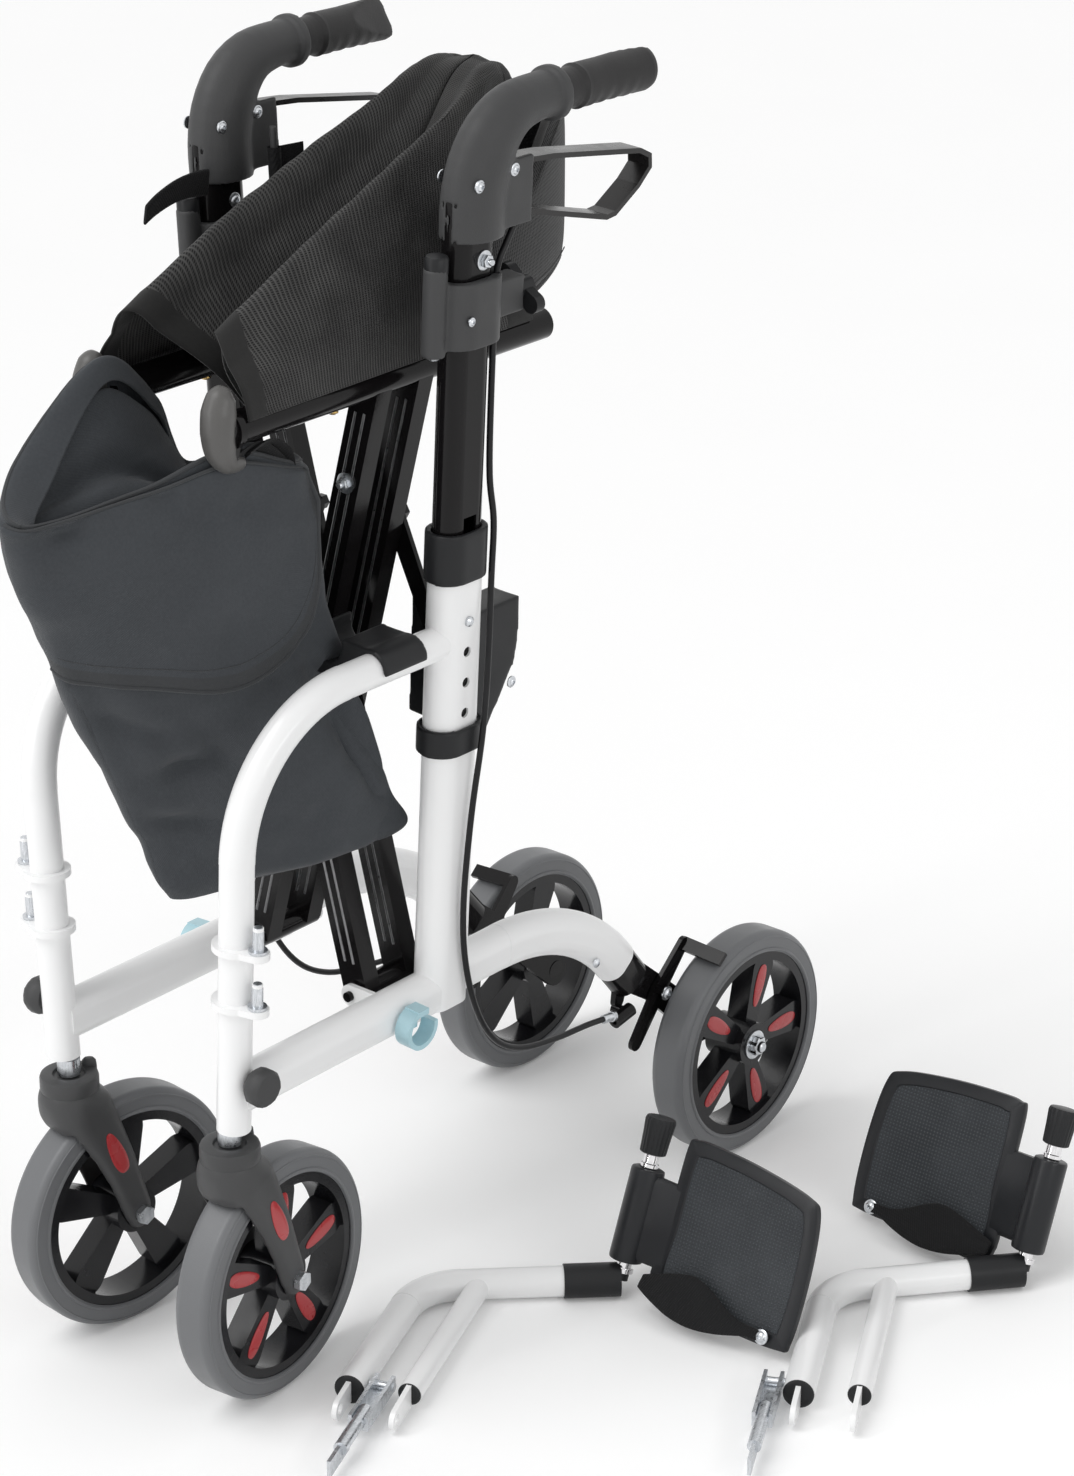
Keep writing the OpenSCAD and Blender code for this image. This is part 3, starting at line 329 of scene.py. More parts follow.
def finish_nodes():
    for name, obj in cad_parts.items():
        material = NODE_FINISH[name.rsplit("_", 1)[0]]
        if not obj.material_slots:
            obj.data.materials.append(material)
        for slot in obj.material_slots:
            slot.material = material


finish_nodes()


# Mesh helpers

SHARP = radians(38)


def faces_of_grid(rows, cols, closed=False):
    out = []
    for i in range(rows - 1):
        for j in range(cols if closed else cols - 1):
            k = (j + 1) % cols
            out.append((i * cols + j, i * cols + k, (i + 1) * cols + k, (i + 1) * cols + j))
    return out


def faces_of_tube(rows, sides):
    """Faces of rings of points, with both ends closed."""
    ends = [tuple(reversed(range(sides))), tuple(range((rows - 1) * sides, rows * sides))]
    return faces_of_grid(rows, sides, True) + ends


class Soup:
    """Collects shapes in chair millimetres and makes one piece of them."""

    def __init__(self):
        self.points = []
        self.faces = []
        self.slots = []
        self.flat = []

    def add(self, points, faces, slot=0, flat=None):
        base = len(self.points)
        self.points += [tuple(p) for p in points]
        self.faces += [tuple(i + base for i in f) for f in faces]
        self.slots += [slot] * len(faces)
        self.flat += flat if flat is not None else [(p[1] / 1000, p[2] / 1000) for p in points]

    def lathe(self, profile, base, way, sides=20, slot=0, turn=0.0, flutes=0.0):
        """A turned shape: profile of (radius, height) along way."""
        axis = Vector(way).normalized()
        a = axis.orthogonal().normalized()
        b = axis.cross(a)
        points = []
        for r, h in profile:
            for k in range(sides):
                t = 2 * pi * k / sides + turn
                rr = r * (1 + (flutes if k % 2 else 0))
                points.append(Vector(base) + axis * h + a * rr * cos(t) + b * rr * sin(t))
        self.add(points, faces_of_tube(len(profile), sides), slot)

    def screw(self, base, way, r, slot=0):
        """A domed screw head with a washer and a driver recess."""
        self.lathe([(r * 1.35, -0.6), (r * 1.35, 0.5), (r * 1.2, 0.9), (r, 1.0), (r * 0.96, r * 0.35),
                    (r * 0.75, r * 0.62), (r * 0.42, r * 0.72), (r * 0.36, r * 0.4)], base, way, 20, slot)

    def nut(self, base, way, r, h, slot=0):
        """A hexagon nut on a washer, with the thread's end."""
        self.lathe([(r * 1.45, 0), (r * 1.45, 1.2), (r * 1.3, 1.5)], base, way, 24, slot)
        self.lathe([(r * 0.9, 1.4), (r, 2), (r, h - 0.6), (r * 0.88, h)], base, way, 6, slot)
        self.lathe([(r * 0.5, h - 0.2), (r * 0.5, h + 2.2), (r * 0.4, h + 3)], base, way, 16, slot)

    def rope(self, line, radii, sides=12, slot=0, squeeze=1.0):
        """A round or flattened strand along a line of points."""
        line = [Vector(p) for p in line]
        n = len(line)
        points = []
        a = None
        for i, p in enumerate(line):
            t = (line[min(i + 1, n - 1)] - line[max(i - 1, 0)]).normalized()
            a = t.orthogonal().normalized() if a is None else (a - t * a.dot(t)).normalized()
            b = t.cross(a)
            r = float(radii[i]) if hasattr(radii, "__len__") else radii
            points += [p + r * (c * a + squeeze * d * b) for c, d in round_steps(sides)]
        self.add(points, faces_of_tube(n, sides), slot)

    def piece(self, name, materials):
        mesh = bpy.data.meshes.new(name)
        mesh.from_pydata([at(p) for p in self.points], [], self.faces)
        for material in materials:
            mesh.materials.append(material)
        mesh.polygons.foreach_set("material_index", self.slots)
        layer = mesh.uv_layers.new(name="flat")
        index = np.zeros(len(mesh.loops), dtype=np.int32)
        mesh.loops.foreach_get("vertex_index", index)
        layer.data.foreach_set("uv", np.array(self.flat, dtype=np.float32)[index].ravel())
        mesh.update()
        mesh.polygons.foreach_set("use_smooth", [True] * len(mesh.polygons))
        mesh.set_sharp_from_angle(angle=SHARP)
        return link(bpy.data.objects.new(name, mesh))

    def riding(self, name, materials, body):
        """Makes a piece that rides on a body."""
        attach(self.piece(name, materials), body)


def cloth_piece(name, materials, points, rows, cols, flat, slots=None):
    """A sheet of rows and columns of points, with a material slot for each face."""
    soup = Soup()
    soup.add(points, faces_of_grid(rows, cols), 0, flat)
    soup.slots = slots or soup.slots
    return soup.piece(name, materials)


def settle(obj, thickness=0.0, levels=0):
    """Thickens and rounds a piece, and keeps the result as its mesh."""
    if thickness:
        solid = obj.modifiers.new("thickness", "SOLIDIFY")
        solid.thickness = thickness
        solid.offset = 0
    if levels:
        rounding = obj.modifiers.new("rounding", "SUBSURF")
        rounding.levels = levels
    bpy.context.view_layer.update()
    graph = bpy.context.evaluated_depsgraph_get()
    mesh = bpy.data.meshes.new_from_object(obj.evaluated_get(graph))
    obj.modifiers.clear()
    obj.data = mesh
    mesh.polygons.foreach_set("use_smooth", [True] * len(mesh.polygons))


def outside(obj):
    """Turns all faces outward."""
    work = bmesh.new()
    work.from_mesh(obj.data)
    bmesh.ops.recalc_face_normals(work, faces=work.faces)
    work.to_mesh(obj.data)
    work.free()


def soften(obj, grain, rounds):
    """Rounds the edges of a moulded piece a little."""
    weld = obj.modifiers.new("weld", "WELD")
    weld.merge_threshold = 0.00002
    remesh = obj.modifiers.new("grain", "REMESH")
    remesh.mode = "VOXEL"
    remesh.voxel_size = grain
    smooth = obj.modifiers.new("round", "SMOOTH")
    smooth.factor = 0.5
    smooth.iterations = rounds
    settle(obj)


# Rounded edges for the larger mouldings

MOULDED = (("mouldings", "frame", "black_moulding", 0.0015),
           ("backrest_clamp", "handle", "black_moulding", 0.0013),
           ("handle_elbow", "handle", "grey_moulding", 0.0013))


def moulded(node, body, grain):
    piece = link(bpy.data.objects.new("moulded_" + node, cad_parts[node].data.copy()))
    soften(piece, grain, 4)
    stand_for(piece, body, node)


for s, word in SIDES:
    for kind, body, slot, grain in MOULDED:
        moulded(kind + "_" + word, word + "_" + body, grain)


# Brake cables

CABLE_D = 5
CABLE_ROUTE = [[10, 15, 886], [10, 8.5, 876], [10, 2, 866], [10, -1.6, 855], [10, -2.2, 840],
               [10, -2.2, 760], [11, -1.5, 700], [15.5, 0, 664], [15.5, 0, 620], [24, -10, 560],
               [25, -14, 500], [22, -20, 430], [21, -24, 357], [20, -18, 303], [19, 0, 251],
               [18, 26, 214], [17, 60, 193], [16, 104, 183], [14, 150, 177], [12, 186, 170]]


def brake_cable(s, word):
    line = [on_side(s, *p) for p in smooth_line(CABLE_ROUTE, 6)]
    soup = Soup()
    soup.rope(line, CABLE_D / 2, 14)
    cable = soup.piece("cable_" + word, [CABLE])
    path = [at(p) for p in line]
    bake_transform(cable)
    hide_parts("brake_cable_" + word)


for s, word in SIDES:
    brake_cable(s, word)


# Seat sling

RAIL = (64, 772, 13.6)
HINGE_Z = 285
SLING_FRONT, SLING_BACK = -203, 92
CREST, RIDGE = (43.6, -203, 842.5), (0, 128, 966.5)
CREST_LINE = [(43.6, -203, 842), (42, -110, 886), (39, -20, 922), (35, 60, 951), (30, 106, 966),
              (26, 128, 963)]
VALLEY_LINE = [(0.8, -121.5, 749), (0.8, -66, 786), (0.8, -6, 832), (0.8, 50, 888), (0.8, 98, 954),
               (0.8, 128, 969)]
SLING_L, SLING_T = 0.36, 0.0016
HEM_FRONT, HEM_BACK = 0.065, 0.955


def sling_row(t, top, end):
    """One line across the cloth, from the rail over the crest to the middle."""
    lift = arc(t)
    turn = radians(28 + 14 * t)
    low = Vector((RAIL[0] + RAIL[2] * cos(turn), SLING_FRONT + (SLING_BACK - SLING_FRONT) * t,
                  RAIL[1] + RAIL[2] * sin(turn)))
    top = top + Vector((2 * lift, 0, 4 * lift))
    down_out = (low - top).normalized()
    down_in = (end - top).normalized()
    reach = 30 + 10 * lift
    a = top + down_out * reach
    b = top + down_in * min(reach, 0.45 * (end - top).length)
    peak = top - (down_out + down_in).normalized() * 12
    line = []
    for j in range(16):
        k = j / 16
        bow = Vector((1, 0, 0.25)) * (3.5 * arc(k) * (1 - 0.5 * t))
        line.append(low.lerp(a, k) + bow)
    for j in range(14):
        k = j / 14
        line.append(a * (1 - k) ** 2 + peak * 2 * k * (1 - k) + b * k * k)
    for j in range(16):
        k = j / 15
        sag = Vector((-1, 0, 0.2)) * (min(0.3 * max(b.x - 2.0, 0.0), 9) * arc(k) ** 1.3)
        line.append(b.lerp(end, k) + sag)
    return line


def sling_half(s, word):
    steps, fall, around = 13, 6, 46
    crest = smooth_line(CREST_LINE, steps)
    valley = smooth_line(VALLEY_LINE, steps)
    rows = len(crest)
    points, flat, slots = [], [], []
    for i in range(rows + fall):
        over = max(i - rows + 1, 0) / fall
        i = min(i, rows - 1)
        t = i / (rows - 1)
        lift = arc(t)
        line = sling_row(t, Vector(crest[i]), Vector(valley[i]))
        way = 0.0
        for j, p in enumerate(line):
            k = j / (around - 1)
            if j:
                way += (p - line[j - 1]).length
            calm = arc(k) * (0.4 + 0.6 * lift)
            ripple = 2.4 * noise.noise(Vector((t * 6, k * 2.2, 3.1)))
            ripple += 1.2 * noise.noise(Vector((t * 20, k * 5, 7)))
            out = 1 if k < 0.5 else -0.8
            hem = 0.8 if t < HEM_FRONT or t > HEM_BACK or j == 0 else 0.0
            q = p + Vector((out, 0, 0.5)) * (ripple * calm + hem)
            q.y += 16 * sin(pi / 2 * over)
            q.z -= 36 * (1 - cos(pi / 2 * over)) * min(1, 3 * k)
            points.append((s * max(q.x, 0.5), q.y, q.z))
            flat.append((t * SLING_L + over * 0.04, way / 1000))
    for i in range(rows + fall - 1):
        t = (i + 0.5) / (rows - 1)
        slots += [1 if t < HEM_FRONT or t > HEM_BACK else 0] * (around - 1)
    cloth = cloth_piece("seat_sling_" + word, [SLING, HEM], points, rows + fall, around, flat, slots)
    settle(cloth, SLING_T)
    # The cloth turns about the line from its front crest to its ridge
    # The axis from the cloth's front crest to its ridge, and the way across it, are worked out; the cloth is
    # not turned about them
    bottom = Vector((s * 64, -55, 790))
    middle = Vector((s * 25, -40, 905))
    inward = Vector((s * 0.5, -20, 830))
    centre = Vector((s * CREST[0], CREST[1], CREST[2]))
    axis = (Vector(RIDGE) - centre).normalized()
    halfway = (bottom - middle).normalized() + (inward - middle).normalized()
    across = axis.cross(halfway).normalized()
    if across.x * s < 0:
        across = -across
    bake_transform(cloth)
    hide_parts("sling_outer_" + word, "sling_inner_" + word)


for s, word in SIDES:
    sling_half(s, word)


# Padded backrest

BACK_PIN = (-30, 8)
BACK_Z, BACK_H, BACK_Y, BACK_T = 792, 136, 221, 14
PIN_X = FRAME_X + (BACK_Z + BACK_H / 2) * sin(SPLAY) + BACK_PIN[0]
CREASE_X = BACK_T / 2 - 1.4
PAD_START, PAD_SPAN = 0.08, 0.94
PUFF_STEPS, PUFF_CAP = 20, 0.002
LOOP_LOW, LOOP_HIGH = 858, 906


def back_line(t):
    bulge = Vector((BACK_Y - BACK_PIN[1], PIN_X)).normalized() * (48 * t * (1 - t))
    return Vector((PIN_X * (1 - t) + CREASE_X * t, BACK_PIN[1] + (BACK_Y - BACK_PIN[1]) * t)) + bulge


def back_point(s, t, h, o):
    """A point of the pad: along it, height from its middle, out of its middle face."""
    p = back_line(t)
    d = (back_line(t + 0.02) - back_line(t - 0.02)).normalized()
    x = p.x - d.y * o + h * sin(SPLAY) * (1 - t)
    return (s * x, p.y + d.x * o, BACK_Z + BACK_H / 2 + h)


def back_edge(t, up):
    """The pad's upper or lower edge from its middle; it narrows towards the clamp."""
    if up > 0:
        return np.interp(t, (0.08, 0.3, 0.5, 0.68, 0.82, 1.0), (16, 22, 36, 56, 66, 66))
    return -np.interp(t, (0.08, 0.15, 0.25, 0.36, 1.0), (30, 44, 57, 66, 66))


def puff(obj, pressure, cap):
    """Inflates a closed pad a little, as stuffing does."""
    count = len(obj.data.vertices)
    before = np.zeros(count * 3, dtype=np.float32)
    obj.data.vertices.foreach_get("co", before)
    cloth = obj.modifiers.new("stuffing", "CLOTH")
    cloth.settings.use_pressure = True
    cloth.settings.uniform_pressure_force = pressure
    cloth.settings.effector_weights.gravity = 0
    cloth.settings.quality = 4
    cloth.point_cache.frame_end = PUFF_STEPS
    for step in range(1, PUFF_STEPS + 1):
        bpy.context.scene.frame_set(step)
    graph = bpy.context.evaluated_depsgraph_get()
    mesh = obj.evaluated_get(graph).to_mesh()
    after = np.zeros(count * 3, dtype=np.float32)
    mesh.vertices.foreach_get("co", after)
    obj.evaluated_get(graph).to_mesh_clear()
    obj.modifiers.clear()
    bpy.context.scene.frame_set(1)
    move = (after - before).reshape(-1, 3)
    size = np.linalg.norm(move, axis=1)
    move *= np.minimum(1, cap / np.maximum(size, 1e-9))[:, None]
    obj.data.vertices.foreach_set("co", (before.reshape(-1, 3) + move).ravel())
    obj.data.update()


def backrest_half(s, word):
    half = (BACK_T - 1) / 2
    n, around = 40, 40
    points = []
    for i in range(n + 1):
        t = PAD_START + PAD_SPAN * i / n
        taper = 1 - 0.5 * abs(2 * (i / n) - 1) ** 6
        for c, d in round_steps(around):
            h = abs(d) ** 0.5 * back_edge(t, d)
            points.append(back_point(s, t, h, signed_power(c, 0.8) * half * taper))
    soup = Soup()
    soup.add(points, faces_of_tube(n + 1, around))
    pad = soup.piece("back_pad_" + word, [BACK])
    puff(pad, 4, PUFF_CAP)
    settle(pad, levels=1)
    stand_for(pad, "backrest_" + word, "backrest_" + word)
    trim = Soup()
    for up in (-1, 1):
        run = [0.09 + 0.922 * i / 40 for i in range(41)]
        trim.rope([back_point(s, t, back_edge(t, up), 0) for t in run], 3.0, 10)
        run = [0.13 + 0.82 * i / 60 for i in range(61)]
        for side in (-1, 1):
            out = side * (BACK_T / 2 - 0.2)
            trim.rope([back_point(s, t, back_edge(t, up) - 11 * up, out) for t in run], 0.5, 6)
    for t in (0.10, 1.006):
        heights = np.linspace(back_edge(t, -1), back_edge(t, 1), 16)
        trim.rope([back_point(s, t, h, 0) for h in heights], 3.2, 10)
    # The webbing loop round the clamp's pin, and the tab that sews it to the pad
    u, y = BACK_PIN
    ring = round_steps(24)
    loop = [(u + 5.2 * c, y + 5.2 * d) for c, d in ring + ring[:1]]
    tab = [(u - 1 - k, y + 4 + k * 4.4) for k in range(6)]
    for line in (loop, tab):
        sheet = [on_side(s, *q, w) for w in np.linspace(LOOP_LOW, LOOP_HIGH, 4) for q in line]
        trim.add(sheet, faces_of_grid(4, len(line)), 1)
    trim.riding("back_trim_" + word, [HEM, WEBBING], "backrest_" + word)


for s, word in SIDES:
    backrest_half(s, word)


# Under-seat bag. Rings of points, each from the front crease round by the left side, the back and
# the right side. The last ring but one is the rim, and the last is turned in.

BAG_RINGS = [
    [(-3, -214, 392), (8, -200, 393), (24, -168, 396), (38, -132, 398), (26, -124, 397), (6, -130, 394),
     (-6, -142, 393), (-12, -164, 392), (-15, -184, 391), (-12, -204, 391)],
    [(-5, -225, 410), (18, -200, 408), (47, -132, 408), (65, -37, 407), (48, -92, 412), (6, -106, 412),
     (-24, -124, 412), (-32, -150, 411), (-33, -180, 411), (-24, -209, 411)],
    [(-6, -240, 445), (24, -204, 445), (48, -140, 445), (65, -50, 446), (44, -101, 446), (2, -106, 446),
     (-36, -122, 446), (-43, -150, 446), (-43, -184, 446), (-32, -222, 446)],
    [(-6, -269, 508), (30, -216, 508), (51, -154, 508), (64, -72, 508), (38, -105, 508), (-2, -107, 508),
     (-46, -122, 508), (-51, -156, 508), (-50, -198, 508), (-38, -248, 508)],
    [(-4, -307, 590), (36, -236, 590), (54, -172, 590), (63, -106, 590), (36, -107, 590), (-4, -107, 590),
     (-53, -126, 590), (-56, -162, 590), (-55, -210, 590), (-42, -279, 590)],
    [(-2, -339, 670), (37, -254, 668), (55, -188, 668), (62, -129, 668), (34, -109, 668), (-8, -109, 668),
     (-56, -136, 666), (-58, -170, 672), (-57, -222, 676), (-44, -306, 674)],
    [(0, -351, 712), (33, -260, 712), (55, -196, 712), (61, -136, 708), (34, -112, 704), (-10, -111, 704),
     (-54, -140, 694), (-54, -171, 730), (-53, -226, 744), (-44, -314, 718)],
    [(1, -353, 724), (27, -263, 732), (56, -206, 753), (60, -142, 728), (32, -114, 722), (-12, -112, 720),
     (-50, -142, 705), (-49, -172, 764), (-48, -228, 803), (-42, -318, 748)],
    [(6, -340, 719), (22, -266, 723), (49, -204, 743), (54, -148, 720), (30, -122, 714), (-10, -121, 712),
     (-42, -150, 701), (-39, -178, 754), (-38, -230, 790), (-22, -300, 738)]]
BAG_STEPS, BAG_RISE = 14, 10
BAG_CREASES = [((14, -262, 500), (38, -204, 512), 15, 7), ((4, -250, 462), (40, -150, 450), 12, 8),
               ((2, -320, 640), (12, -250, 480), 6, 12), ((50, -150, 600), (64, -92, 520), 14, 8),
               ((-46, -296, 740), (-40, -230, 640), 7, 10), ((-4, -346, 716), (14, -316, 714), 12, 6),
               ((52, -128, 560), (64, -62, 450), 15, 8), ((24, -230, 560), (44, -168, 470), 9, 9),
               ((28, -230, 650), (50, -176, 610), 6, 9), ((0, -290, 560), (22, -240, 536), 9, 7)]
FLAP_EDGE = [(0.0, 606), (0.16, 597), (0.32, 583), (0.48, 573), (0.64, 576), (0.76, 588), (0.86, 611),
             (0.93, 640), (0.97, 668), (1.0, 700)]
BAG_LOOP = [(57, -146, 722), (60, -158, 740), (61, -176, 752), (62, -198, 748)]
BAG_T, FLAP_T, LINER_T = 0.0022, 0.0026, 0.002


def bag_wrinkle(p):
    q = Vector(p)
    bend = 6.0 * noise.noise(q * 0.011 + Vector((1.7, 0, 0))) + 3.6 * noise.noise(q * 0.026)
    bend += 1.5 * noise.noise(q * 0.06)
    for a, b, depth, wide in BAG_CREASES:
        a, b = Vector(a), Vector(b)
        k = min(max((q - a).dot(b - a) / (b - a).length_squared, 0), 1)
        far = (q - a.lerp(b, k)).length
        bend -= depth * exp(-(far / wide) ** 2) * (0.4 + 0.6 * arc(k))
    return bend


def bag_surface():
    """Rows of rings of points of the bag's shell."""
    levels = []
    for column in range(len(BAG_RINGS[0])):
        levels.append(smooth_line([ring[column] for ring in BAG_RINGS], BAG_RISE))
    rows = []
    for i in range(len(levels[0])):
        rows.append(smooth_line([levels[c][i] for c in range(len(levels))], BAG_STEPS, True))
    return rows


def outward(rows, i, j):
    n = len(rows[0])
    up = Vector(rows[min(i + 1, len(rows) - 1)][j]) - Vector(rows[max(i - 1, 0)][j])
    along = Vector(rows[i][(j + 1) % n]) - Vector(rows[i][j - 1])
    return along.cross(up).normalized()


def bag_flap(rows, shell, rim):
    """The front flap hangs over the left side, with a broad bound edge."""
    n = len(rows[0])
    first, last, deep = -3, 3 * BAG_STEPS, 40
    wide = last - first + 1
    edge_line = smooth_line([(a, z, 0) for a, z in FLAP_EDGE], 8)
    lines, cover, cloth, slots = [], [], [], []
    for j in range(first, last + 1):
        a = (j - first) / (last - first)
        heights = [shell[i * n + j % n].z for i in range(rim + 1)]
        bottom = np.interp(a, [q[0] for q in edge_line], [q[1] for q in edge_line])
        lowest = np.interp(bottom, heights, range(rim + 1))
        rise = ease(a / 0.12)
        line = []
        for k in range(deep + 1):
            i = rim - 3 + (lowest - rim + 3) * k / deep
            lo = int(floor(i))
            p = shell[lo * n + j % n].lerp(shell[(lo + 1) * n + j % n], i - lo)
            swell = 1.4 * arc(a) * arc(k / deep)
            lift = 2.2 + rise * (1.6 + 6.0 * (k / deep) ** 2 + swell)
            line.append(p + outward(rows, lo, j % n) * lift)
        lines.append(line)
    for k in range(deep + 1):
        for j in range(wide):
            cover.append(lines[j][k])
            cloth.append((j * 0.0058, k * 0.0048))
    for k in range(deep):
        for j in range(wide - 1):
            slots.append(1 if k > deep - 3 or j > wide - 3 else 0)
    flap = cloth_piece("bag_flap", [BAG, BINDING], cover, deep + 1, wide, cloth, slots)
    settle(flap, FLAP_T, 1)
    trim = Soup()
    trim.rope(lines[-1] + [line[deep] for line in lines[-2::-1]], 2.0, 10)
    trim.rope([lines[j][0] + Vector((0.6, 0, 0.8)) for j in range(wide)], 1.3, 8)
    trim.rope([lines[j][deep - 3] + Vector((1.0, -0.6, 0)) for j in range(1, wide - 2)], 0.5, 6)
    trim.rope([shell[rim * n + j % n] for j in range(n + 1)], 2.0, 8)
    # The loop that hangs the near corner from the rail's cap
    for half in (-6, 6):
        loop = BAG_LOOP[:1] + [(x, y + half, z) for x, y, z in BAG_LOOP[1:]]
        trim.rope(smooth_line(loop, 6), 7.0, 10, 1, 0.2)
    return flap, trim.piece("bag_binding", [BINDING, WEBBING])


LINER_TOP = [(-16, -326, 728), (-36, -290, 754), (-41, -232, 786), (-42, -186, 758), (-43, -160, 722)]
LINER_LOW = [(0, -342, 708), (16, -288, 696), (30, -248, 696), (46, -204, 702), (50, -172, 702)]


def bag_liner():
    """The far panel's inside, which falls towards the near one with a slanting fold."""
    top, low = smooth_line(LINER_TOP, 9), smooth_line(LINER_LOW, 9)
    deep = 26
    points, flat = [], []
    toward = Vector((0.55, -0.2, 0.8)).normalized()
    for k in range(deep + 1):
        v = k / deep
        for i, (a, b) in enumerate(zip(top, low)):
            u = i / (len(top) - 1)
            p = Vector(a).lerp(Vector(b), v)
            p.z -= 16 * arc(v)
            fold = v - (0.08 + 0.62 * u)
            press = 9 * exp(-(fold / 0.07) ** 2) - 5 * exp(-((fold - 0.2) / 0.12) ** 2)
            p -= toward * press * sin(pi * min(max(v, 0.04), 0.96)) ** 0.5
            p += toward * 2.5 * noise.noise(p * 0.03)
            points.append(p)
            flat.append((u * 0.16, v * 0.11))
    liner = cloth_piece("bag_liner", [BAG], points, deep + 1, len(top), flat)
    settle(liner, LINER_T, 1)
    return liner


def bag():
    rows = bag_surface()
    n, count = len(rows[0]), len(rows)
    rim = count - 1 - BAG_RISE
    shell, flat = [], []
    for i in range(count):
        way = 0.0
        for j in range(n):
            p = Vector(rows[i][j])
            way += (p - Vector(rows[i][j - 1])).length if j else 0
            calm = 0.3 if i > rim - 4 else 1.0
            shell.append(p + outward(rows, i, j) * bag_wrinkle(p) * calm)
            flat.append((way / 1000, p.z / 1000))
    soup = Soup()
    soup.add(shell, faces_of_grid(count, n, True) + [tuple(reversed(range(n)))], 0, flat)
    body = soup.piece("bag_shell", [BAG])
    settle(body, BAG_T, 1)
    flap, binding = bag_flap(rows, shell, rim)
    for obj in (body, flap, binding, bag_liner()):
        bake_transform(obj)
    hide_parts("bag_left", "bag_right")


bag()


# Footplates and heel straps

FOOT_Z = 14
FOOT = {LEFT: ((149, -196), 22), RIGHT: ((416, 21), 28)}
FOOT_TURN, POST_L, REACH_L = radians(68), 160, 162
PLATE_LEAN, STRUT_X = radians(22), 46
SLEEVE_Z, SLEEVE_L, PLATE_T, STRAP_T = 16, 78, 8, 0.0018


def foot_point(s, x, y, z):
    """A point in a footrest's own axes: post along y, strut at +x, up from the tube's middle."""
    (ox, oy), yaw = FOOT[s]
    a = radians(yaw)
    return (ox + x * cos(a) - y * sin(a), oy + x * sin(a) + y * cos(a), FOOT_Z + z)


def plate_point(s, x, y, z):
    """A point in a footplate's own axes: along the plate, out of its face, up its rod."""
    o = foot_point(s, REACH_L * sin(FOOT_TURN), POST_L + REACH_L * cos(FOOT_TURN), 0)
    return (o[0] + s * x, o[1] + y * cos(PLATE_LEAN) + z * sin(PLATE_LEAN),
            o[2] - y * sin(PLATE_LEAN) + z * cos(PLATE_LEAN))


def plate_outline(inset):
    """The plate's rounded outline, with its bowed upper and outer edges."""
    corners = [(33, -3), (100, -4), (158, -3), (168, 6), (170, 60), (165, 108), (152, 120), (105, 128),
               (60, 131), (40, 130), (33, 122), (32, 60)]
    cx, cz = 101, 63
    loop = smooth_line(corners, 8, True)
    kx, kz = (69 - inset) / 69, (67 - inset) / 67
    return [(cx + (x - cx) * kx, cz + (z - cz) * kz) for x, z in loop]


def footplate(s, word):
    half = PLATE_T / 2
    soup = Soup()
    steps = [(1.6, half), (0.3, half - 1.2), (0, half - 2.4), (0, -half + 2.4), (0.3, -half + 1.0),
             (1.8, -half), (10.5, -half - 0.3), (11.6, -half + 0.9)]
    points, flat = [], []
    for inset, y in steps:
        for x, z in plate_outline(inset):
            points.append(plate_point(s, x, y, z))
            flat.append((x / 1000, z / 1000))
    n = len(plate_outline(0))
    faces = faces_of_grid(len(steps), n, True)
    faces.append(tuple(reversed(range(n))))
    soup.add(points, faces, 0, flat)
    inner = plate_outline(11.6)
    soup.add([plate_point(s, x, -half + 0.9, z) for x, z in inner], [tuple(range(n))], 1,
             [(x / 1000, z / 1000) for x, z in inner])
    # Ribs on the back
    for z in (22, 48, 74, 100):
        soup.rope([plate_point(s, x, half, z) for x in np.linspace(40, 158, 12)], 2.2, 8)
    soup.lathe([(6.4, 0.3), (11.6, 0), (13.4, 0.8), (14, 2.6), (14, SLEEVE_L - 2.6), (13.4, SLEEVE_L - 0.8),
                (11.6, SLEEVE_L), (6.4, SLEEVE_L - 0.3)], plate_point(s, 0, 0, SLEEVE_Z),
               way_in(plate_point, s, 0, 0, 1), 40)
    # The web between the sleeve and the plate
    web = []
    for x, t in ((8, 6.5), (16, 5.4), (26, 4.6), (38, 4.2)):
        for z, y in ((24, -t), (86, -t), (90, -t + 2), (90, t - 2), (86, t), (24, t), (20, t - 2),
                     (20, -t + 2)):
            web.append(plate_point(s, x, y, z))
    soup.add(web, faces_of_grid(4, 8, True))
    plate = soup.piece("plate_" + word, [PLATE_EDGE, PLATE_DOTS])
    stand_for(plate, "plate_" + word, "footplate_" + word)


def heel_strap(s, word):
    cols, rows = 40, 12
    points, flat = [], []
    for i in range(cols + 1):
        t = i / cols
        x = 27 + 123 * t
        arch = sin(pi * min(t / 0.62, 1.0) * 0.5) * (1 - ease((t - 0.34) / 0.5))
        top = 14 + 22 * arch - 6 * t
        low = 4 - 12 * sin(pi * min(t * 1.15, 1.0)) - 4 * t
        for j in range(rows + 1):
            k = j / rows
            z = low + (top - low) * k
            out = 3 + (8 * (1 - t) ** 2 + 11 * arc(t) ** 0.8) * (1 - 0.55 * k)
            out += 0.7 * noise.noise(Vector((t * 7, k * 3, 0.4)))
            points.append(plate_point(s, x, -PLATE_T / 2 - out, z))
            flat.append((x / 1000, z / 1000))
    strap = cloth_piece("strap_" + word, [WEBBING], points, cols + 1, rows + 1, flat)
    settle(strap, STRAP_T, 1)
    stand_for(strap, "plate_" + word, "heel_strap_" + word)
    rivets = Soup()
    rivets.screw(plate_point(s, 146, -PLATE_T / 2 - 4, 4), way_in(plate_point, s, 0, -1, 0), 4.6)
    rivets.riding("strap_rivet_" + word, [ZINC], "plate_" + word)


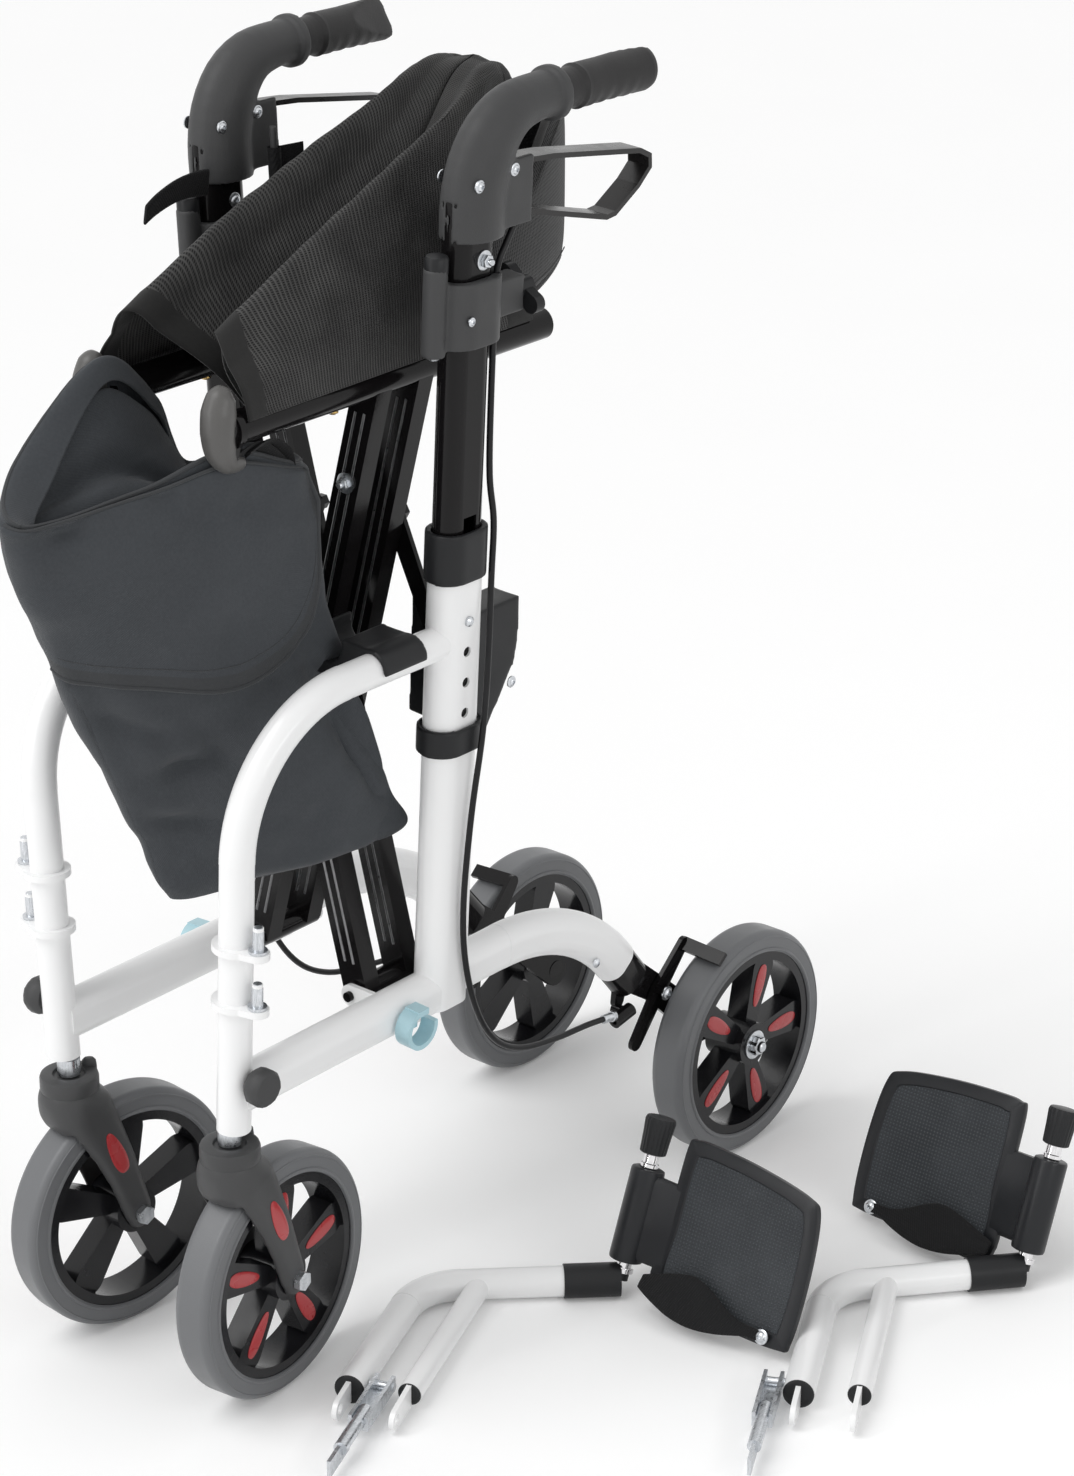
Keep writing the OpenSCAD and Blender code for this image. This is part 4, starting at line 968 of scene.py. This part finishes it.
def footrest_trim(s, word):
    up, down = (way_in(plate_point, s, 0, 0, z) for z in (1, -1))
    top = SLEEVE_Z + SLEEVE_L
    soup = Soup()
    soup.lathe([(6.3, 0), (7.4, 0.6), (7.4, 3.4), (6.3, 4), (6.3, 11.4)],
               plate_point(s, 0, 0, top + 0.4), up, 28)
    soup.lathe([(6.3, 0), (6.3, 5), (8.6, 5.4), (8.6, 9)], plate_point(s, 0, 0, SLEEVE_Z - 0.4), down, 28)
    soup.lathe([(9.2, 0), (10.4, 0.8), (10.6, 3), (11.2, 15), (12.2, 27.5), (11.2, 30.2), (8, 30.8)],
               plate_point(s, 0, 0, top + 12), up, 48, 1, 0.0, 0.05)
    # Plugs in the lower ends of the post and the strut
    for x, y, r in ((0, 0, 12.2), (STRUT_X, 8, 9.2)):
        soup.lathe([(r, 0), (r, 1.0), (r - 1.2, 2.0), (r - 3, 2.2)], foot_point(s, x, y + 0.2, 0),
                   way_in(foot_point, s, 0, -1, 0), 28, 1)
    soup.riding("hinge_trim_" + word, [CHROME, BLACK_MOULD], "footrest_" + word)


for s, word in SIDES:
    footplate(s, word)
    heel_strap(s, word)
    footrest_trim(s, word)


# Wheel inlays, fasteners and small trim

REAR = (120.5, 328, 100)
BUMPER = (13, -250, 288)
FLANGES = (401, 355)
STEM_X, LEG_Y, TRAIL, TOE = 86, -254, 45, radians(6)
WHEEL_R, RIM_R, SPOKES = 100, 82, 5
REAR_TURN, CASTER_TURN = 17, 33


def oval(soup, centre, along, across, out, length, wide, rise, slot=0):
    """A shallow domed oval, narrower at its start."""
    along, across, out = (Vector(v).normalized() for v in (along, across, out))
    n = 28
    points = []
    for size, h in ((1.0, -0.4), (1.0, rise * 0.6), (0.9, rise), (0.5, rise * 1.15)):
        for c, d in round_steps(n):
            x = c * length * size
            y = signed_power(d, 0.8) * wide * (0.82 + 0.18 * c) * size
            points.append(Vector(centre) + along * x + across * y + out * h)
    faces = faces_of_grid(4, n, True) + [tuple(range(3 * n, 4 * n))]
    soup.add(points, faces, slot)


def wheel_trim(s, word):
    """Inlays on the outer faces of the spokes and a lip along each edge of the tyre."""
    def rear(s, x, y, z):
        return (s * (REAR[0] + x), REAR[1] + y, REAR[2] + z)

    def caster(s, x, y, z):
        return caster_point(s, x, TRAIL + y, WHEEL_R + z)

    ring = round_steps(96)
    for place, turn, body in ((rear, REAR_TURN, word + "_wheel"),
                              (caster, CASTER_TURN, word + "_caster_wheel")):
        soup = Soup()
        out = way_in(place, s, 1, 0, 0)
        for k in range(SPOKES):
            a = radians(turn + 360 * k / SPOKES)
            along = way_in(place, s, 0, sin(a), -cos(a))
            across = way_in(place, s, 0, cos(a), sin(a))
            oval(soup, Vector(place(s, 11, 0, 0)) + Vector(along) * 50, along, across, out, 19, 7.5, 0.9)
        for side in (-1, 1):
            for r, size in ((RIM_R + 2.2, 1.7), (RIM_R + 13, 0.7)):
                lip = [place(s, side * 15.6, r * d, r * c) for c, d in ring + ring[:1]]
                soup.rope(lip, size, 8, 1)
        soup.riding("wheel_inlays_" + body, [RED, TYRE], body)


def caster_point(s, x, y, z):
    return (s * (STEM_X + x * cos(TOE) - y * sin(TOE)),
            LEG_Y + x * sin(TOE) + y * cos(TOE), z)


FORK_LINE = [(0, 219), (1, 212), (4, 202), (10, 189), (19, 170), (29, 147), (38, 122), (44, 103),
             (46.5, 90), (47, 87)]
FORK_WIDE = [22, 25, 27, 27.3, 27.3, 27.3, 27.3, 27.3, 26.5, 24]
FORK_DEEP = [22, 25, 26, 24, 20, 17, 15, 14.5, 10, 5]
FORK_SQUARE = [2, 2.2, 2.6, 3, 3.6, 4, 4, 4, 4, 4]
FORK_IN, WHEEL_ROOM = 19.3, 104


def caster_fork(s, word):
    """A moulded fork: a tapered loft from the collar to the axle, with the wheel's slot cut out."""
    n, steps = 44, 6
    line = smooth_line([(0, y, z) for y, z in FORK_LINE], steps)
    spread = np.linspace(0, len(FORK_LINE) - 1, len(line))
    points = []
    for i, p in enumerate(line):
        way = Vector(line[min(i + 1, len(line) - 1)]) - Vector(line[max(i - 1, 0)])
        way = Vector((0, 0, -1)).lerp(way.normalized(), ease(i / 14)).normalized()
        deep_way = Vector((0, -way.z, way.y))
        wide, deep, square = (np.interp(spread[i], range(len(FORK_LINE)), v)
                              for v in (FORK_WIDE, FORK_DEEP, FORK_SQUARE))
        for c, d in round_steps(n):
            q = Vector(p) + deep_way * (signed_power(d, 2 / square) * deep)
            points.append(caster_point(s, signed_power(c, 2 / square) * wide, q.y, q.z))
    soup = Soup()
    soup.add(points, faces_of_tube(len(line), n))
    body = soup.piece("fork_body_" + word, [FORK])
    room = Soup()
    room.lathe([(WHEEL_ROOM, 0), (WHEEL_ROOM, 2 * FORK_IN)], caster_point(s, -FORK_IN, TRAIL, WHEEL_R),
               way_in(caster_point, s, 1, 0, 0), 120)
    cutter = room.piece("fork_room_" + word, [FORK])
    for obj in (body, cutter):
        outside(obj)
    slot = body.modifiers.new("slot", "BOOLEAN")
    slot.operation = "DIFFERENCE"
    slot.solver = "EXACT"
    slot.object = cutter
    settle(body)
    bpy.data.objects.remove(cutter)
    soften(body, 0.0013, 5)
    stand_for(body, word + "_caster", "caster_fork_" + word)
    trim = Soup()
    trim.lathe([(19, 217), (22.4, 217.6), (23, 219.4), (23, 228), (22.2, 230.2), (20, 231), (13, 231),
                (12, 229)], caster_point(s, 0, 0, 0), (0, 0, 1), 48, 1)
    trim.rope([caster_point(s, 0, 19.5, z) for z in (222, 230, 235, 237)], [6, 6, 5.4, 3.6], 16, 1, 0.6)
    along = way_in(caster_point, s, 0, 22.75, -55)
    across = way_in(caster_point, s, 0, 55, 22.75)
    for e in (-1, 1):
        out = way_in(caster_point, s, e, 0, 0)
        oval(trim, caster_point(s, e * 27.1, 22, 163), along, across, out, 21, 8, 0.9)
    trim.riding("fork_trim_" + word, [RED, FORK], word + "_caster")


def frame_trim(s, word):
    soup = Soup()
    out = way_in(on_side, s, 1, 0, 0)
    up = way_in(on_side, s, 0, 0, 1)
    for u, y, w, r in ((19.5, 24, 527, 3.4), (14.3, 156, 232, 3.0), (15, 254, 166, 4.6)):
        soup.screw(on_side(s, u, y, w), out, r)
    soup.lathe([(11.2, 2.6), (14.5, 7), (14.8, 14.6), (12.6, 18.2), (8, 18.8)], on_side(s, *BUMPER), out,
               16, 1, 0.2, 0.03)
    for z in FLANGES:
        soup.lathe([(7.2, 0.2), (7.2, 2.4), (4.4, 2.6), (4.25, 17), (3.2, 20.6)],
                   on_side(s, 22, LEG_Y, z), up, 20)
    soup.nut((s * (REAR[0] + 19.3), REAR[1], REAR[2]), (s, 0, 0), 8.8, 7.2)
    ends = [Vector(on_side(s, *p)) for p in CABLE_ROUTE[-2:]]
    way = (ends[1] - ends[0]).normalized()
    soup.lathe([(3.2, -16), (3.8, -15), (3.8, -4), (4.6, -3.6), (4.6, 0)], ends[1], way, 18)
    soup.rope([ends[1] + way * k for k in (0, 6, 12, 18)], 0.9, 8)
    soup.riding("frame_fasteners_" + word, [ZINC, GREY_MOULD], word + "_frame")


def handle_trim(s, word):
    soup = Soup()
    out, back = (way_in(on_side, s, u, 0, 0) for u in (1, -1))
    for y, z, u in ((-33, 927, 17.7), (8, 931, 15.2)):
        soup.screw(on_side(s, u, y, z), out, 3.6)
        soup.screw(on_side(s, -u, y, z), back, 3.6)
    soup.nut(on_side(s, 12.7, -20, 869), out, 5.2, 6)
    soup.screw(on_side(s, -12.7, -20, 869), back, 4.2)
    soup.screw(on_side(s, 20.9, -40, 829), out, 2.6)
    soup.screw(on_side(s, 0, -56.5, 801.5), way_in(on_side, s, 0, 0, -1), 4.2)
    # Ribbed cap on the clamp's hinge pin
    soup.lathe([(7.6, 0), (8.6, 0.8), (8.6, 11), (7.4, 13), (4.2, 13.4)], on_side(s, 0, -56.5, 864),
               way_in(on_side, s, 0, 0, 1), 32, 1, 0.0, 0.04)
    # Ring between the moulding and the grip
    soup.lathe([(17.2, 0), (19.6, 0.6), (20.2, 2.4), (19.6, 4.2), (17.2, 4.8)], on_side(s, 0, 60, GRIP_Z),
               way_in(on_side, s, 0, 1, 0), 40, 2)
    soup.riding("handle_fasteners_" + word, [ZINC, BLACK_MOULD, GRIP], word + "_handle")


GRIP_SHAPE = [(66, 14.5), (68, 15.6), (80, 15.4), (86, 15.8), (89, 17.6), (92, 17.2), (120, 16.8),
              (150, 17.4), (164, 17.8), (168, 16.9), (170.5, 14.2), (172, 9)]
GRIP_Z, GRIP_END = 974, 172


def hand_grip(s, word):
    """A soft grip with a neck, finger ridges and a slanted flat for the thumb."""
    n = 40
    flat_way = Vector((-0.86, 0.26, 0.44)).normalized()
    flat_at = Vector((-16.2, 118, 5))
    points = []
    steps = np.concatenate((np.arange(66, 92, 1.0), np.arange(92, 164, 1.5), np.arange(164, 172.1, 1.0)))
    for y in steps:
        r = np.interp(y, *zip(*GRIP_SHAPE)) - 0.5
        ridge = 0.35 * sin(2 * pi * (y - 96) / 14) * ease((y - 94) / 8) * (1 - ease((y - 148) / 8))
        for c, d in round_steps(n):
            rr = r + ridge * max(-d, 0) ** 0.5
            q = Vector((0.96 * rr * c, y, rr * d))
            deep = (q - flat_at).dot(flat_way)
            if deep > 0:
                q -= flat_way * deep * 0.94
                q.y = min(q.y, GRIP_END)
            points.append(on_side(s, q.x, q.y, GRIP_Z + q.z))
    soup = Soup()
    soup.add(points, faces_of_tube(len(steps), n))
    stand_for(soup.piece("hand_grip_" + word, [GRIP]), word + "_handle", "grip_" + word)


def brace_trim(s, word):
    soup = Soup()
    other = "right" if s > 0 else "left"
    for y, lean in ((-104, -0.2), (60, 0)):
        soup.screw((s * RAIL[0], y, RAIL[1] - 12.6), (0, lean, -1), 3.4, 1)
    front = -67 if s > 0 else -90
    soup.nut((s * 42, front, 690), (0, -1, 0), 5.6, 5.5)
    # Painted highlights: thin strips of bright metal along the faces of the bars stand in for the highlights
    # that run along them
    for k in (0, 46):
        for off in (-5.0, 4.0):
            edge = [(s * (RAIL[0] * (2 * t - 1) + off * 0.97), front + k + 0.7,
                     HINGE_Z + (RAIL[1] - HINGE_Z) * t) for t in np.linspace(0.05, 0.95, 9)]
            soup.rope(edge, 1.5, 8, 2)
    # Rounded cap with its hook at the rail's front end
    cap = smooth_line([(64, -213, 804), (64, -217, 798), (64, -220, 787), (64, -221, 773), (63.5, -219, 759),
                       (62.5, -211, 748), (62, -197, 744)], 6)
    sizes = np.interp(np.linspace(0, 6, len(cap)), range(7), (4, 10.5, 12.8, 12.8, 11.4, 8.4, 4.8))
    soup.rope([(s * p[0], p[1], p[2]) for p in cap], list(sizes), 24, 3)
    soup.riding("brace_fasteners_" + word, [ZINC, BRASS, BAR_HIGHLIGHT, CAP], "brace_" + other)


def strap_end():
    """The loose end of the strap on the right handle."""
    line = smooth_line([(-112, -46, 887), (-113, -62, 888), (-114, -80, 886), (-115, -98, 880),
                        (-115, -110, 874)], 6)
    points, flat = [], []
    for i, p in enumerate(line):
        t = i / (len(line) - 1)
        half = 11 - 3 * t
        for k in range(5):
            points.append((p[0] + 3 * (k / 4 - 0.5), p[1], p[2] + half * (k / 2 - 1)))
            flat.append((p[1] / 1000, k * 0.005))
    piece = cloth_piece("strap_end", [WEBBING], points, len(line), 5, flat)
    settle(piece, 0.003, 1)
    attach(piece, "right_handle")


for s, word in SIDES:
    wheel_trim(s, word)
    caster_fork(s, word)
    frame_trim(s, word)
    handle_trim(s, word)
    hand_grip(s, word)
    brace_trim(s, word)
strap_end()


# Floor and light

SKY_LIGHT, SUN_LIGHT, FLOOR_GLOW = 0.58, 1.25, 0.08
FLOOR_HALF = 30
STRIPS = (("strip_left", (-700, -2500, 1300), 10), ("strip_right", (2700, -300, 1400), 9))


def seen_directly(tree):
    """1 for rays from the camera, a mirror or glass, 0 for those that light the object."""
    path = tree.nodes.new("ShaderNodeLightPath")
    value = path.outputs["Is Camera Ray"]
    for name in ("Is Glossy Ray", "Is Transmission Ray"):
        add = tree.nodes.new("ShaderNodeMath")
        add.operation = "MAXIMUM"
        tree.links.new(value, add.inputs[0])
        tree.links.new(path.outputs[name], add.inputs[1])
        value = add.outputs[0]
    return value


def light_the_scene():
    world = bpy.data.worlds.new("studio")
    world.use_nodes = True
    bpy.context.scene.world = world
    tree = world.node_tree
    back = tree.nodes["Background"]
    back.inputs["Color"].default_value = (1, 1, 1, 1)
    strength = tree.nodes.new("ShaderNodeMapRange")
    strength.inputs[3].default_value = SKY_LIGHT
    strength.inputs[4].default_value = 1.0
    tree.links.new(seen_directly(tree), strength.inputs[0])
    tree.links.new(strength.outputs[0], back.inputs["Strength"])

    sun = bpy.data.lights.new("key", "SUN")
    sun.energy = SUN_LIGHT
    sun.angle = radians(40)
    key = link(bpy.data.objects.new("key", sun))
    key.rotation_euler = (radians(30), radians(-16), 0)

    # Tall strips whose reflections run along the black tubes
    for name, place, power in STRIPS:
        strip = bpy.data.lights.new(name, "AREA")
        strip.shape = "RECTANGLE"
        strip.size = 0.06
        strip.size_y = 1.9
        strip.energy = power
        lamp = link(bpy.data.objects.new(name, strip))
        lamp.location = at(place)
        lamp.rotation_euler = (at((100, 0, 500)) - lamp.location).to_track_quat("-Z", "Z").to_euler()

    mesh = bpy.data.meshes.new("floor")
    w = FLOOR_HALF
    mesh.from_pydata([(-w, -w, 0), (w, -w, 0), (w, w, 0), (-w, w, 0)], [], [(0, 1, 2, 3)])
    floor = link(bpy.data.objects.new("floor", mesh))
    f = Finish("floor", 0.9, level=0.1)
    f.colour(f.mix(f.noise(3, 2), (0.955, 0.955, 0.955), (0.97, 0.97, 0.97)))
    f.put((1, 1, 1, 1), f.shader.inputs["Emission Color"])
    f.put(f.math("MULTIPLY", seen_directly(f.tree), FLOOR_GLOW), f.shader.inputs["Emission Strength"])
    mesh.materials.append(f.material)
    bpy.context.scene.view_settings.view_transform = "Standard"


light_the_scene()
